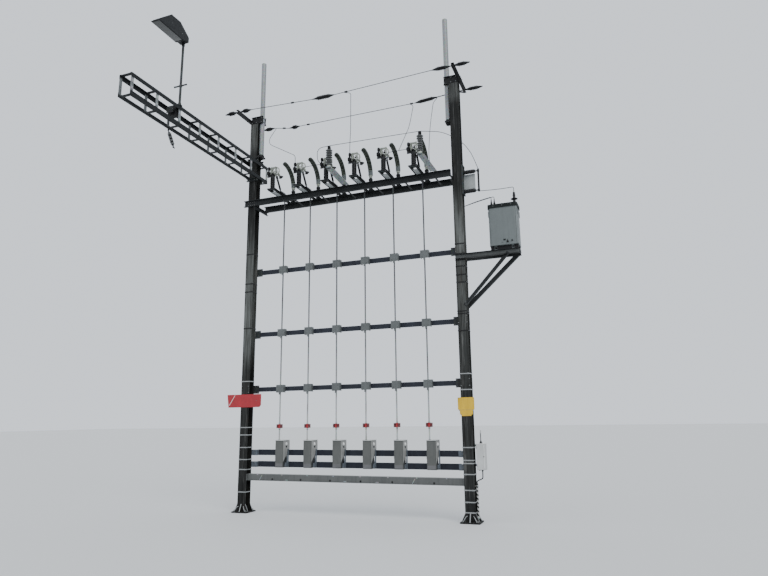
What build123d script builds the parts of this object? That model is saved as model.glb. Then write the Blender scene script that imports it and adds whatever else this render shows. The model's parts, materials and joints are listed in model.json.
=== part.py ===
from build123d import *
from math import hypot, tan, radians
import os

os.makedirs("parts", exist_ok=True)

# Railway frame of two masts that carries a switching platform, a pole transformer,
# a lattice cross boom and the busbar lines. Sizes in mm. The origin is the middle of
# the left mast's foot; X runs to the right mast, Y away from the viewer, Z up.

# Masts, wide-flange sections with their flange faces toward -Y and +Y
MAST_SPACING = 5000.0
MAST_WIDTH = 200.0
MAST_DEPTH = 190.0
MAST_FLANGE = 10.0
MAST_WEB = 7.0
MAST_TOP = 9030.0
FOOT_WIDTH = 380.0
FOOT_DEPTH = 360.0
FOOT_THICK = 25.0
FOOT_HOLE_R = 14.0
FOOT_HOLE_X = 290.0
FOOT_HOLE_Y = 270.0
GUSSET_THICK = 10.0
GUSSET_RISE = 150.0
GUSSET_REACH = 70.0

# Mast heads: paired cap channels, tube, outrigger arm
CAP_HEIGHT = 190.0
CAP_END = 217.0
PLATE = 8.0
TUBE_R = 57.15
SEAT_GAP = 0.3
CAP_INNER = TUBE_R + SEAT_GAP
TUBE_WALL = 5.0
TUBE_X = 160.0
TUBE_LAP = 850.0
TUBE_FOOT = MAST_TOP - TUBE_LAP
TUBE_TOP = 10680.0
TUBE_PLATE = 35.0
ARM_LOW = 9080.0
ARM_HEIGHT = 80.0
ARM_REACH = 60.0
ARM_NEAR = -655.0
ARM_FAR = 500.0
LINE_Z = 9120.0
LINE_A_Y = -600.0
LINE_B_Y = 430.0
LINE_R = 7.0
LINE_SAG = 78.0
LINE_GAP = 0.5
LEAD_R = 6.0
LEAD_GAP = 0.3
STRAIN_R = 37.5
STRAIN_STEM_R = 12.0
STRAIN_NEAR = 60.0
STRAIN_FAR = 30.0
STRAIN_LONGEST = 470.0
STRAIN_A_LEFT = 233.0
STRAIN_A_RIGHT = MAST_SPACING - 329.0
STRAIN_A_OUT = 490.0
STRAIN_B_LEFT = 253.0
STRAIN_B_RIGHT = MAST_SPACING - 1035.0
STRAIN_B_OUT = 544.0
INLINE_A_LEFT = 1840.0
INLINE_A_RIGHT = 2389.0
INLINE_B_LEFT = 661.0
INLINE_B_RIGHT = 970.0
CLAMP_LENGTH = 70.0
CLAMP_R = 18.0

# Lattice cross boom
BOOM_HALF = 143.0
BOOM_LOW = 7602.0
BOOM_HIGH = 8036.0
CHORD_LEG = 60.0
CHORD_FOOT = 40.0
CHORD_THICK = 6.0
BOOM_BAY = 638.0
BOOM_BAYS = 6
BOOM_FIRST = -380.0
BOOM_REAR = 300.0
BATTEN = 65.0
SEAT_HEIGHT = 65.0
SEAT_HALF = 150.0
SEAT_REACH = 50.0

# Lamp on the boom
LAMP_Y = -2932.0
LAMP_POLE_X = 115.0
LAMP_POLE_R = 24.15
LAMP_POLE_TOP = 9440.0
LAMP_BAR_Z = 8482.0
LAMP_BAR_LEFT = -37.0
LAMP_BAR_RIGHT = 256.0
LAMP_BAR_R = 15.0
LAMP_WIDTH = 200.0
LAMP_OUTLINE = [(-3770.0, 9407.0), (-3420.0, 9740.0), (-3165.0, 9750.0), (-2890.0, 9560.0), (-2890.0, 9440.0),
                (-2990.0, 9440.0), (-3050.0, 9407.0)]
LAMP_BOX_LEFT = -100.0
LAMP_BOX_RIGHT = 95.0
LAMP_BOX_HEIGHT = 185.0
DROP_X = -120.0
DROP_STEM = 40.0
DROP_R = 38.0
DROP_END_X = 39.0
DROP_END_Z = 7168.0

# Switching platform
BEAM_HEIGHT = 144.0
BEAM_REACH = 60.0
BEAM_WEB = 7.0
BEAM_FLANGE = 10.0
BEAM_LOW = 6891.0
BEAM_TOP = BEAM_LOW + BEAM_HEIGHT
FRONT_BEAM_LEFT = -185.0
REAR_BEAM_LEFT = 50.0
FRONT_BEAM_RIGHT = MAST_SPACING - 125.0
REAR_BEAM_RIGHT = MAST_SPACING - MAST_WIDTH / 2
REAR_BEAM_Y = 430.0
CROSS_HEIGHT = 80.0
CROSS_REACH = 45.0
TIE_SIZE = 40.0

# Six switches along the platform
UNITS = 6
ROD_FIRST = 818.0
ROD_END = 792.0
ROD_PITCH = (MAST_SPACING - ROD_FIRST - ROD_END) / (UNITS - 1)
ROD_Y = 40.0
ROD_R = 15.0
UNIT_SHIFT = 25.0
BASE_INNER = 45.0
BASE_REACH = 40.0
BASE_HEIGHT = 50.0
BASE_HALF = 530.0
POST_Y = 480.0
POST_R = 50.0
POST_HEIGHT = 282.0
FERRULE_R = 44.0
FERRULE_HEIGHT = 88.0
HORN_R = 50.0
HORN_BEND = 455.0
HORN_TURN = 85.0
BASE_LOW = BEAM_TOP
BASE_TOP = BASE_LOW + BASE_HEIGHT
POST_TOP = BASE_TOP + POST_HEIGHT
HORN_START = POST_TOP + FERRULE_HEIGHT

# Switch head and linkage
PIVOT_Y = -450.0
PIVOT_Z = 7460.0
PIN_R = 10.0
PIN_PLAY = 0.08
HEAD_LEFT = 44.0
HEAD_RIGHT = 14.0
HEAD_TOP = 30.0
TERMINAL_REACH = 110.0
TERMINAL_HALF = 20.0
TERMINAL_X = 95.0
HUB_R = 26.0
LEVER_Y = -350.0
LEVER_Z = 7430.0
LEVER_HALF = 6.0
LEVER_R = 20.0
CHEEK_IN = 50.0
CHEEK_OUT = 62.0
CHEEK_TOP = 7632.0
CHEEK_TAPER = 8.0
STRIP_LOW = 7588.0
STRIP_REACH = 68.0
RING_X = -45.0
RING_Y = -280.0
RING_Z = 7602.0
RING_R = 92.0
RING_TUBE_R = 15.0
CLAMP_Y = -465.0
CLAMP_FOOT = 7380.0
CLAMP_RISE = 40.0
CLAMP_OUT = 150.0
CLAMP_IN = 95.0
KNOB_X = -112.0
KNOB_LOW = 7560.0
KNOB_HIGH = 7640.0
KNOB_R = 32.0
STUB_X = -134.0
STUB_LOW = 7455.0
STUB_HIGH = 7530.0
STUB_R = 30.0
JAW_THICK = 14.0
JAW = [(10.0, 7480.0), (60.0, 7455.0), (142.0, 7534.0), (48.0, 7575.0)]
LINK_FOOT_Y = -150.0
LINK_FOOT_Z = 7130.0
LINK_R = 20.0
FORK_IN = 12.0
FORK_OUT = 19.0
EYE_R = 20.0
CLEVIS_IN = 8.0
CLEVIS_OUT = 15.0
LINK_PIN_R = 7.0

# Surge arresters and the stiff leads: shifts of base and foot from their switch
ARRESTER_ARM = 100.0
ARRESTER_R = 60.0
ARRESTER_HEIGHT = 500.0
ARRESTER_BASES = {2: (136.0, -615.0, 7310.0), 5: (136.0, -440.0, 7355.0)}
ARRESTER_FEET = {2: (341.0, -125.0, 7020.0), 5: (347.0, -125.0, 7020.0)}
BRIDGE_Z = 7492.0
LEAD_RISE = 170.0

# Drive rods with their couplers
ROD_TOP = 7068.0
ROD_FOOT = 1405.0
COUPLER_LOW = 1749.0
COUPLER_HIGH = 1840.0
COUPLER_R = 27.0
NUT_R = 22.0
NUT_HEIGHT = 24.0

# Guide rails behind the rods and their straps
RAIL_HEIGHT = 100.0
RAIL_REACH = 45.0
RAIL_WEB = 6.0
RAIL_Y = 107.0
RAIL_LOWS = [5250.0, 3790.0, 2550.0]
RAIL_LEFT = 150.0
RAIL_PLATE_END = 235.0
RAIL_PLATE_HEIGHT = 180.0
STRAP_WIDTH = 180.0
STRAP_HEIGHT = 165.0
STRAP_THICK = 6.0
STRAP_FRONT = 4.0
TAB_WIDTH = 40.0
TAB_DROP = 45.0
GUIDE_HALF = 40.0
GUIDE_THICK = 12.0
GUIDE_PLAY = 0.3

# Motor boxes and their rails
MOTOR_RAIL_Y = 175.0
MOTOR_RAIL_HEIGHT = 120.0
MOTOR_RAIL_LOWS = [1175.0, 927.0]
MOTOR_RAIL_LEFT = 210.0
MOTOR_SHIFT = 50.0
MOTOR_HALF = 95.0
MOTOR_FRONT = -40.0
MOTOR_REAR = 150.0
MOTOR_LOW = 935.0
MOTOR_TOP = 1490.0
LID_THICK = 15.0
LID_OVER = 6.0
WELL_R = 18.0

# Cable duct low between the masts
DUCT_LOW = 660.0
DUCT_HIGH = 795.0
DUCT_HALF = 45.0
DUCT_LIP = 12.0

# Bands round the masts
BAND_HEIGHT = 20.0
BAND_THICK = 5.0
LEFT_BANDS = [5718.0, 5011.0, 4822.0, 3972.0, 2777.0, 1774.0, 1614.0, 1348.0, 1095.0, 886.0, 420.0]
RIGHT_BANDS = [5404.0, 5193.0, 5056.0, 4930.0, 4753.0, 4598.0, 4004.0, 3954.0, 3612.0, 2766.0, 2458.0, 1367.0,
               1129.0, 1074.0, 874.0, 587.0, 373.0, 188.0]

# Transformer on the right mast
TR_LOW = 5077.0
TR_HEIGHT = 100.0
TR_REACH = 50.0
TR_WEB = 6.0
TR_RIGHT = MAST_SPACING + 1200.0
TR_LEFT = MAST_SPACING - MAST_WIDTH / 2
STRUT_LEG = 75.0
STRUT_DROP = 960.0
STRUT_FRONT_X = TR_RIGHT - 225.0
STRUT_REAR_X = TR_RIGHT - 60.0
TANK_LEFT = MAST_SPACING + 630.0
TANK_RIGHT = TR_RIGHT
TANK_HALF = 200.0
TANK_LOW = 5250.0
TANK_HIGH = 6030.0
TANK_CORNER = 60.0
COVER_THICK = 75.0
COVER_OVER = 15.0
COVER_TOP = TANK_HIGH + COVER_THICK
BUSHING_X = TANK_RIGHT - 60.0
BUSHING_TOP = 6426.0
LV_XS = [TANK_LEFT + 60.0, TANK_LEFT + 120.0]
LV_Y = -90.0
LV_TOP = 6250.0
SKID_FROM_ENDS = 90.0

# Fuse holder and control box on the right mast
FUSE_PLATE_LOW = 6470.0
FUSE_PLATE_HIGH = 7115.0
FUSE_PLATE_THICK = 35.0
FUSE_PLATE_HALF = 95.0
FUSE_ARM_ZS = [6538.0, 6965.0]
FUSE_ARM_END = MAST_SPACING + 370.0
FUSE_ARM_R = 42.5
FUSE_X = MAST_SPACING + 434.0
FUSE_R = 17.5
FUSE_LOW = 6500.0
FUSE_HIGH = 7010.0
BOX_LEFT = MAST_SPACING + 150.0
BOX_RIGHT = MAST_SPACING + 320.0
BOX_FRONT = -60.0
BOX_REAR = 100.0
BOX_LOW = 955.0
BOX_HIGH = 1440.0
CONDUIT_X = MAST_SPACING + 130.0
CONDUIT_R = 20.0
CONDUIT_LOW = 37.0
CONDUIT_HIGH = 690.0
CABLE_R = 11.0
CABLE_X = MAST_SPACING + 245.0
AERIAL_R = 9.0
AERIAL_TOP = 1688.0
GLAND_R = 30.0
GLAND_HEIGHT = 50.0

# Bare signal plates on the front flanges
SIGN_THICK = 3.0
SIGN_FRONT = -101.0
RED_LOW = 2209.0
RED_HIGH = 2491.0
RED_HALF = 420.0
RED_TIP = 459.0
RED_CORNER = 40.0
YELLOW_LOW = 2070.0
YELLOW_HIGH = 2308.0
TAB_LOW = 1954.0
YELLOW_HALF = 162.5
TAB_HALF = 127.5
TAB_CORNER = 40.0
SIGN_BRACKET = 60.0

FRONT = -MAST_DEPTH / 2
REAR = MAST_DEPTH / 2
SIDE = MAST_WIDTH / 2
RIGHT = MAST_SPACING
MIDDLE = Plane.YZ.offset(MAST_SPACING / 2)
TERMINAL_Z = POST_TOP + PLATE
ROD_XS = [ROD_FIRST + ROD_PITCH * i for i in range(UNITS)]
UNIT_XS = [x - UNIT_SHIFT for x in ROD_XS]
BRIDGED_XS = [UNIT_XS[1], UNIT_XS[4]]


def at_x(x):
    """Upright plane across X, drawn in (Y, Z), growing toward +X."""
    return Plane.YZ.offset(x)


def at_y(y):
    """Upright plane across Y, drawn in (X, Z), growing toward -Y."""
    return Plane.XZ.offset(-y)


def at_z(z):
    """Level plane, drawn in (X, Y), growing upward."""
    return Plane.XY.offset(z)


def bar(plane, outline, length):
    """Straight bar with the given outline, grown from a plane."""
    with BuildSketch(plane) as section:
        with BuildLine():
            Polyline(*outline, close=True)
        make_face()
    extrude(to_extrude=section.sketch, amount=length)


def rectangle(u, v):
    """Corner points of the rectangle over the two ranges."""
    return [(u[0], v[0]), (u[1], v[0]), (u[1], v[1]), (u[0], v[1])]


def channel(back, low, depth, reach, web, flange):
    """Outline of a channel: web on the line u = back, flanges reaching along u."""
    inner = back + (web if reach > 0 else -web)
    tip = back + reach
    return [(back, low), (tip, low), (tip, low + flange), (inner, low + flange),
            (inner, low + depth - flange), (tip, low + depth - flange), (tip, low + depth), (back, low + depth)]


def angle(u, v, leg_u, leg_v, thick):
    """Outline of an angle with its outer corner at (u, v) and signed legs."""
    tu = thick if leg_u > 0 else -thick
    tv = thick if leg_v > 0 else -thick
    return [(u, v), (u + leg_u, v), (u + leg_u, v + tv), (u + tu, v + tv), (u + tu, v + leg_v), (u, v + leg_v)]


def rod(start, end, radius):
    """Round bar from one point to another."""
    along = Vector(*end) - Vector(*start)
    with BuildSketch(Plane(origin=start, z_dir=along)) as section:
        Circle(radius)
    extrude(to_extrude=section.sketch, amount=along.length)


def turned(start, direction, outline):
    """Turned body: outline lists (distance along the axis, radius) from end to end."""
    along = Vector(*direction)
    side = Vector(0, 1, 0) if abs(along.Z) > 0.9 * along.length else along.cross(Vector(0, 0, 1))
    points = [(outline[0][0], 0.0)] + outline + [(outline[-1][0], 0.0)]
    with BuildSketch(Plane(origin=start, x_dir=along, z_dir=side)) as half:
        with BuildLine():
            Polyline(*points, close=True)
        make_face()
    revolve(profiles=half.sketch, axis=Axis(start, direction))


# Masts: foot plate with four anchor holes, gussets and the wide-flange section

def mast_outline():
    """Corner points of the wide-flange section about its own middle."""
    web = MAST_WEB / 2
    inner = REAR - MAST_FLANGE
    return [(-SIDE, FRONT), (SIDE, FRONT), (SIDE, -inner), (web, -inner), (web, inner), (SIDE, inner),
            (SIDE, REAR), (-SIDE, REAR), (-SIDE, inner), (-web, inner), (-web, -inner), (-SIDE, -inner)]


with BuildPart() as left_mast:
    with BuildSketch(Plane.XY):
        Rectangle(FOOT_WIDTH, FOOT_DEPTH)
        with GridLocations(FOOT_HOLE_X, FOOT_HOLE_Y, 2, 2):
            Circle(FOOT_HOLE_R, mode=Mode.SUBTRACT)
    extrude(amount=FOOT_THICK)
    bar(at_z(FOOT_THICK), mast_outline(), MAST_TOP - FOOT_THICK)
    for face, way in ((REAR, 1), (FRONT, -1)):
        bar(at_x(-GUSSET_THICK / 2), [(face, FOOT_THICK), (face + way * GUSSET_REACH, FOOT_THICK),
                                      (face, FOOT_THICK + GUSSET_RISE)], GUSSET_THICK)
        for side in (-1, 1):
            bar(at_y(face - (way - 1) * GUSSET_THICK / 2),
                [(side * SIDE, FOOT_THICK), (side * (SIDE + GUSSET_REACH), FOOT_THICK),
                 (side * SIDE, FOOT_THICK + GUSSET_RISE)], GUSSET_THICK)

with BuildPart() as right_mast:
    with Locations((MAST_SPACING, 0, 0)):
        add(left_mast.part)

# Mast heads: two cap channels either side of the tube, an end plate and the outrigger arm

with BuildPart() as cross_arms:
    for way in (-1, 1):
        bar(at_x(-SIDE), channel(way * CAP_INNER, MAST_TOP, CAP_HEIGHT, way * (REAR - CAP_INNER), PLATE, PLATE),
            CAP_END + SIDE)
    bar(at_x(-SIDE), rectangle((-CAP_INNER, CAP_INNER), (MAST_TOP, MAST_TOP + CAP_HEIGHT)), PLATE)
    bar(at_y(ARM_FAR), channel(-SIDE, ARM_LOW, ARM_HEIGHT, -ARM_REACH, PLATE, PLATE), ARM_FAR - ARM_NEAR)
    bar(at_x(-SIDE - PLATE), [(REAR - 35, MAST_TOP - 130), (REAR + 5, MAST_TOP - 150), (ARM_FAR - 10, ARM_LOW),
                              (ARM_FAR - 70, ARM_LOW)], PLATE)
    mirror(about=MIDDLE)

with BuildPart() as extension_tubes:
    with BuildSketch(at_z(TUBE_FOOT)):
        with Locations((TUBE_X, 0)):
            Circle(TUBE_R)
            Circle(TUBE_R - TUBE_WALL, mode=Mode.SUBTRACT)
    extrude(amount=TUBE_TOP - TUBE_FOOT)
    bar(at_z(TUBE_FOOT - TUBE_PLATE), rectangle((SIDE, CAP_END), (FRONT, REAR)), TUBE_PLATE)
    mirror(about=MIDDLE)

# Strain insulators on the outrigger arms and in the rear line, and the lines between them

ARM_WEB_OUT = SIDE + PLATE
LINE_LOW = LINE_Z - LINE_SAG
STRAINS = [
    ((-SIDE, LINE_A_Y, LINE_Z), (STRAIN_A_LEFT, LINE_A_Y, LINE_Z)),
    ((-ARM_WEB_OUT, LINE_A_Y, LINE_Z), (-STRAIN_A_OUT, LINE_A_Y, LINE_Z)),
    ((RIGHT + SIDE, LINE_A_Y, LINE_Z), (STRAIN_A_RIGHT, LINE_A_Y, LINE_Z)),
    ((RIGHT + ARM_WEB_OUT, LINE_A_Y, LINE_Z), (RIGHT + STRAIN_A_OUT, LINE_A_Y, LINE_Z)),
    ((-SIDE, LINE_B_Y, LINE_Z), (STRAIN_B_LEFT, LINE_B_Y, LINE_Z)),
    ((INLINE_B_LEFT, LINE_B_Y, LINE_LOW), (INLINE_B_RIGHT, LINE_B_Y, LINE_LOW)),
    ((INLINE_A_LEFT, LINE_A_Y, LINE_LOW), (INLINE_A_RIGHT, LINE_A_Y, LINE_LOW)),
    ((RIGHT + SIDE - 2 * LINE_GAP, LINE_B_Y, LINE_Z), (STRAIN_B_RIGHT, LINE_B_Y, LINE_LOW)),
    ((RIGHT + ARM_WEB_OUT, LINE_B_Y, LINE_Z), (RIGHT + STRAIN_B_OUT, LINE_B_Y, LINE_Z)),
]

with BuildPart() as strain_insulators:
    for start, end in STRAINS:
        along = Vector(*end) - Vector(*start)
        body = min(along.length - STRAIN_NEAR - STRAIN_FAR, STRAIN_LONGEST)
        near = along.length - STRAIN_FAR - body
        turned(start, tuple(along), [(0.0, STRAIN_STEM_R), (near, STRAIN_STEM_R), (near, STRAIN_R),
                                     (near + body, STRAIN_R), (near + body, STRAIN_STEM_R),
                                     (along.length, STRAIN_STEM_R)])

LINE_RUNS = [
    ((STRAIN_A_LEFT + LINE_GAP, LINE_A_Y, LINE_Z), (INLINE_A_LEFT - LINE_GAP, LINE_A_Y, LINE_LOW)),
    ((INLINE_A_RIGHT + LINE_GAP, LINE_A_Y, LINE_LOW), (STRAIN_A_RIGHT - LINE_GAP, LINE_A_Y, LINE_Z)),
    ((STRAIN_B_LEFT + 3 * LINE_GAP, LINE_B_Y, LINE_Z), (INLINE_B_LEFT - 3 * LINE_GAP, LINE_B_Y, LINE_LOW)),
    ((INLINE_B_RIGHT + LINE_GAP, LINE_B_Y, LINE_LOW), (STRAIN_B_RIGHT - 2 * LINE_GAP, LINE_B_Y, LINE_LOW)),
]
CLAMP_XS = [[UNIT_XS[1] - 175.0], [UNIT_XS[3] - 183.0], [490.0], [1166.0, UNIT_XS[5] - 341.0]]

with BuildPart() as busbar_lines:
    for (start, end), clamps in zip(LINE_RUNS, CLAMP_XS):
        rod(start, end, LINE_R)
        run = Vector(*end) - Vector(*start)
        for x in clamps:
            near = Vector(*start) + run * ((x - start[0]) / run.X)
            far = near + run * (CLAMP_LENGTH / run.X)
            rod(tuple(near), tuple(far), CLAMP_R)

# Lattice cross boom: four corner angles, rectangular battens, seats on the left mast

BOOM_NEAR = BOOM_FIRST - BOOM_BAY * BOOM_BAYS
BATTEN_YS = [BOOM_FIRST - BOOM_BAY * i for i in range(BOOM_BAYS + 1)] + [BOOM_REAR]
BOOM_LENGTH = BOOM_REAR - BOOM_NEAR + BATTEN

with BuildPart() as boom_chords:
    for side in (-1, 1):
        for height, way in ((BOOM_LOW, 1), (BOOM_HIGH, -1)):
            bar(at_y(BOOM_REAR + BATTEN / 2),
                angle(side * BOOM_HALF, height, -side * CHORD_FOOT, way * CHORD_LEG, CHORD_THICK), BOOM_LENGTH)

with BuildPart() as boom_frames:
    for y in BATTEN_YS:
        with BuildSketch(at_y(y + BATTEN / 2)) as ring:
            with Locations((0, (BOOM_LOW + BOOM_HIGH) / 2)):
                Rectangle(2 * (BOOM_HALF - CHORD_THICK), BOOM_HIGH - BOOM_LOW - 2 * CHORD_THICK)
                Rectangle(2 * (BOOM_HALF - CHORD_THICK - PLATE),
                          BOOM_HIGH - BOOM_LOW - 2 * CHORD_THICK - 2 * PLATE, mode=Mode.SUBTRACT)
        extrude(amount=BATTEN)

with BuildPart() as boom_seats:
    for face, way in ((REAR, 1), (FRONT, -1)):
        for low in (BOOM_LOW - SEAT_HEIGHT, BOOM_HIGH):
            bar(at_x(-SEAT_HALF), channel(face, low, SEAT_HEIGHT, way * SEAT_REACH, CHORD_THICK, CHORD_THICK),
                2 * SEAT_HALF)

# Lamp: gear box across the chords, pole with a step bar, wedge lantern at the top

with BuildPart() as lamp_pole:
    rod((LAMP_POLE_X, LAMP_Y, BOOM_HIGH), (LAMP_POLE_X, LAMP_Y, LAMP_POLE_TOP), LAMP_POLE_R)
    rod((LAMP_BAR_LEFT, LAMP_Y, LAMP_BAR_Z), (LAMP_BAR_RIGHT, LAMP_Y, LAMP_BAR_Z), LAMP_BAR_R)
    bar(at_z(BOOM_HIGH), rectangle((-BOOM_HALF, BOOM_HALF), (LAMP_Y - BATTEN, LAMP_Y + BATTEN)), PLATE)

BOX_HANG_Z = BOOM_HIGH - CHORD_THICK - PLATE

with BuildPart() as lamp_gear_box:
    with BuildSketch(at_z(BOX_HANG_Z - LAMP_BOX_HEIGHT)):
        with Locations(((LAMP_BOX_LEFT + LAMP_BOX_RIGHT) / 2, LAMP_Y)):
            RectangleRounded(LAMP_BOX_RIGHT - LAMP_BOX_LEFT, 2 * BATTEN, 12)
    extrude(amount=LAMP_BOX_HEIGHT)

with BuildPart() as boom_insulator:
    rod((DROP_X, LAMP_Y, BOOM_LOW - DROP_STEM), (DROP_X, LAMP_Y, BOOM_LOW), STRAIN_STEM_R)
    drop = (DROP_END_X - DROP_X, 0, DROP_END_Z - BOOM_LOW + DROP_STEM)
    run = Vector(*drop).length
    turned((DROP_X, LAMP_Y, BOOM_LOW - DROP_STEM), drop, [(0.0, STRAIN_STEM_R), (STRAIN_NEAR, STRAIN_STEM_R),
                                                          (STRAIN_NEAR, DROP_R), (run - STRAIN_NEAR, DROP_R),
                                                          (run - STRAIN_NEAR, STRAIN_STEM_R), (run, STRAIN_STEM_R)])

with BuildPart() as lamp_head:
    bar(at_x(LAMP_POLE_X - LAMP_WIDTH / 2), LAMP_OUTLINE, LAMP_WIDTH)

# Platform: two long channels, channels across at the masts and light ties between

with BuildPart() as platform_beams:
    bar(at_x(FRONT_BEAM_LEFT), channel(FRONT, BEAM_LOW, BEAM_HEIGHT, -BEAM_REACH, BEAM_WEB, BEAM_FLANGE),
        FRONT_BEAM_RIGHT - FRONT_BEAM_LEFT)
    bar(at_x(REAR_BEAM_LEFT), channel(REAR_BEAM_Y, BEAM_LOW, BEAM_HEIGHT, -BEAM_REACH, BEAM_WEB, BEAM_FLANGE),
        REAR_BEAM_RIGHT - REAR_BEAM_LEFT)

with BuildPart() as platform_cross:
    for back, way in ((SIDE, 1), (RIGHT - SIDE, -1)):
        bar(at_y(REAR_BEAM_Y), channel(back, BEAM_LOW - CROSS_HEIGHT, CROSS_HEIGHT, way * CROSS_REACH,
                                       CHORD_THICK, CHORD_THICK), REAR_BEAM_Y - FRONT + BEAM_REACH)
    for x in [middle + ROD_PITCH / 2 for middle in UNIT_XS]:
        bar(at_y(REAR_BEAM_Y - BEAM_REACH), angle(x, BEAM_LOW + BEAM_FLANGE, TIE_SIZE, TIE_SIZE, CHORD_THICK),
            REAR_BEAM_Y - BEAM_REACH - FRONT)

# Switch frames, posts, horns and fixed heads

with BuildPart() as switch_bases:
    for x in UNIT_XS:
        for way in (-1, 1):
            bar(at_y(BASE_HALF), channel(x + way * BASE_INNER, BASE_LOW, BASE_HEIGHT, way * BASE_REACH,
                                         CHORD_THICK, CHORD_THICK), 2 * BASE_HALF)
            bar(at_z(BASE_TOP - PLATE), rectangle((x - BASE_INNER, x + BASE_INNER),
                                                  sorted((way * BASE_HALF, way * (POST_Y - POST_R)))), PLATE)

with BuildPart() as post_insulators:
    for x in UNIT_XS:
        for y in (-POST_Y, POST_Y):
            turned((x, y, BASE_TOP), (0, 0, 1), [(0.0, POST_R), (POST_HEIGHT, POST_R)])

with BuildPart() as arc_horns:
    for x in UNIT_XS:
        rod((x, POST_Y, POST_TOP), (x, POST_Y, HORN_START), FERRULE_R)
        with BuildLine(at_x(x)):
            CenterArc((POST_Y - HORN_BEND, HORN_START), HORN_BEND, 0, HORN_TURN)
        with BuildSketch(Plane(origin=(x, POST_Y, HORN_START), z_dir=(0, 0, 1))):
            Circle(HORN_R)
        sweep()

with BuildPart() as contact_heads:
    for x in UNIT_XS:
        turned((x, -POST_Y, POST_TOP), (0, 0, 1), [(0.0, POST_R), (PLATE, POST_R)])
        if x in BRIDGED_XS:
            bar(at_z(POST_TOP), rectangle((x, x + TERMINAL_REACH),
                                          (-POST_Y - TERMINAL_HALF, -POST_Y + TERMINAL_HALF)), PLATE)
        with BuildSketch(at_x(x - HEAD_LEFT)):
            with BuildLine():
                Polyline((-POST_Y - POST_R + PLATE, POST_TOP + PLATE), (PIVOT_Y + HEAD_TOP, POST_TOP + PLATE),
                         (PIVOT_Y + HEAD_TOP, PIVOT_Z), (PIVOT_Y + HEAD_TOP / 2, PIVOT_Z + HEAD_TOP),
                         (PIVOT_Y - HEAD_TOP / 2, PIVOT_Z + HEAD_TOP), (PIVOT_Y - HEAD_TOP, PIVOT_Z), close=True)
            make_face()
            with Locations((PIVOT_Y, PIVOT_Z)):
                Circle(PIN_R + PIN_PLAY, mode=Mode.SUBTRACT)
        extrude(amount=HEAD_LEFT + HEAD_RIGHT)
        bar(at_x(x - HEAD_LEFT), rectangle((PIVOT_Y + HEAD_TOP - PLATE, RING_Y + RING_TUBE_R),
                                           (PIVOT_Z + PLATE, RING_Z - RING_R)), HEAD_LEFT / 2)
        with BuildSketch(Plane(origin=(x + RING_X + RING_R, RING_Y, RING_Z), x_dir=(1, 0, 0), z_dir=(0, 0, 1))):
            Circle(RING_TUBE_R)
        revolve(axis=Axis((x + RING_X, RING_Y, RING_Z), (0, 1, 0)))
        bar(at_y(RING_Y + JAW_THICK / 2), [(x + u, z) for u, z in JAW], JAW_THICK)
        bar(at_y(CLAMP_Y + PLATE / 2),
            [(x - HEAD_LEFT, CLAMP_FOOT), (x - CLAMP_OUT, CLAMP_FOOT), (x - CLAMP_OUT, STUB_HIGH - CLAMP_RISE),
             (x + KNOB_X - KNOB_R / 2, KNOB_LOW + CLAMP_RISE), (x - CLAMP_IN, KNOB_LOW + CLAMP_RISE),
             (x - CLAMP_IN, CLAMP_FOOT + CLAMP_RISE), (x - HEAD_LEFT, CLAMP_FOOT + CLAMP_RISE)], PLATE)
        rod((x + KNOB_X, CLAMP_Y, KNOB_LOW), (x + KNOB_X, CLAMP_Y, KNOB_HIGH), KNOB_R)
        rod((x + STUB_X, CLAMP_Y, STUB_LOW), (x + STUB_X, CLAMP_Y, STUB_HIGH), STUB_R)

# Moving parts of one switch, drawn on the rod's own plane and repeated for the six

with BuildPart() as drive_rod:
    rod((0, ROD_Y, ROD_FOOT), (0, ROD_Y, ROD_TOP), ROD_R)
    rod((0, ROD_Y, COUPLER_LOW), (0, ROD_Y, COUPLER_HIGH), COUPLER_R)
    for z in (COUPLER_LOW - NUT_HEIGHT, COUPLER_HIGH):
        with BuildSketch(at_z(z)):
            with Locations((0, ROD_Y)):
                RegularPolygon(NUT_R, 6)
        extrude(amount=NUT_HEIGHT)
    for low in (-CLEVIS_OUT, CLEVIS_IN):
        with BuildSketch(at_x(low)):
            with BuildLine():
                Polyline((ROD_Y + ROD_R, ROD_TOP - 2 * EYE_R), (ROD_Y + ROD_R, LINK_FOOT_Z + EYE_R),
                         (LINK_FOOT_Y, LINK_FOOT_Z + EYE_R), (LINK_FOOT_Y, LINK_FOOT_Z - EYE_R),
                         (ROD_Y - 2 * ROD_R, ROD_TOP - EYE_R), close=True)
            make_face()
            with Locations((LINK_FOOT_Y, LINK_FOOT_Z)):
                Circle(EYE_R)
        extrude(amount=CLEVIS_OUT - CLEVIS_IN)
    rod((-CLEVIS_OUT, LINK_FOOT_Y, LINK_FOOT_Z), (CLEVIS_OUT, LINK_FOOT_Y, LINK_FOOT_Z), LINK_PIN_R)

LINK_RUN = hypot(LEVER_Y - LINK_FOOT_Y, LEVER_Z - LINK_FOOT_Z)
LINK_DIR = Vector(0, (LEVER_Y - LINK_FOOT_Y) / LINK_RUN, (LEVER_Z - LINK_FOOT_Z) / LINK_RUN)
LINK_PLANE = Plane(origin=(0, LINK_FOOT_Y, LINK_FOOT_Z), x_dir=LINK_DIR, z_dir=(1, 0, 0))
FORK_ROOT = LINK_RUN - 3 * EYE_R

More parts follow.
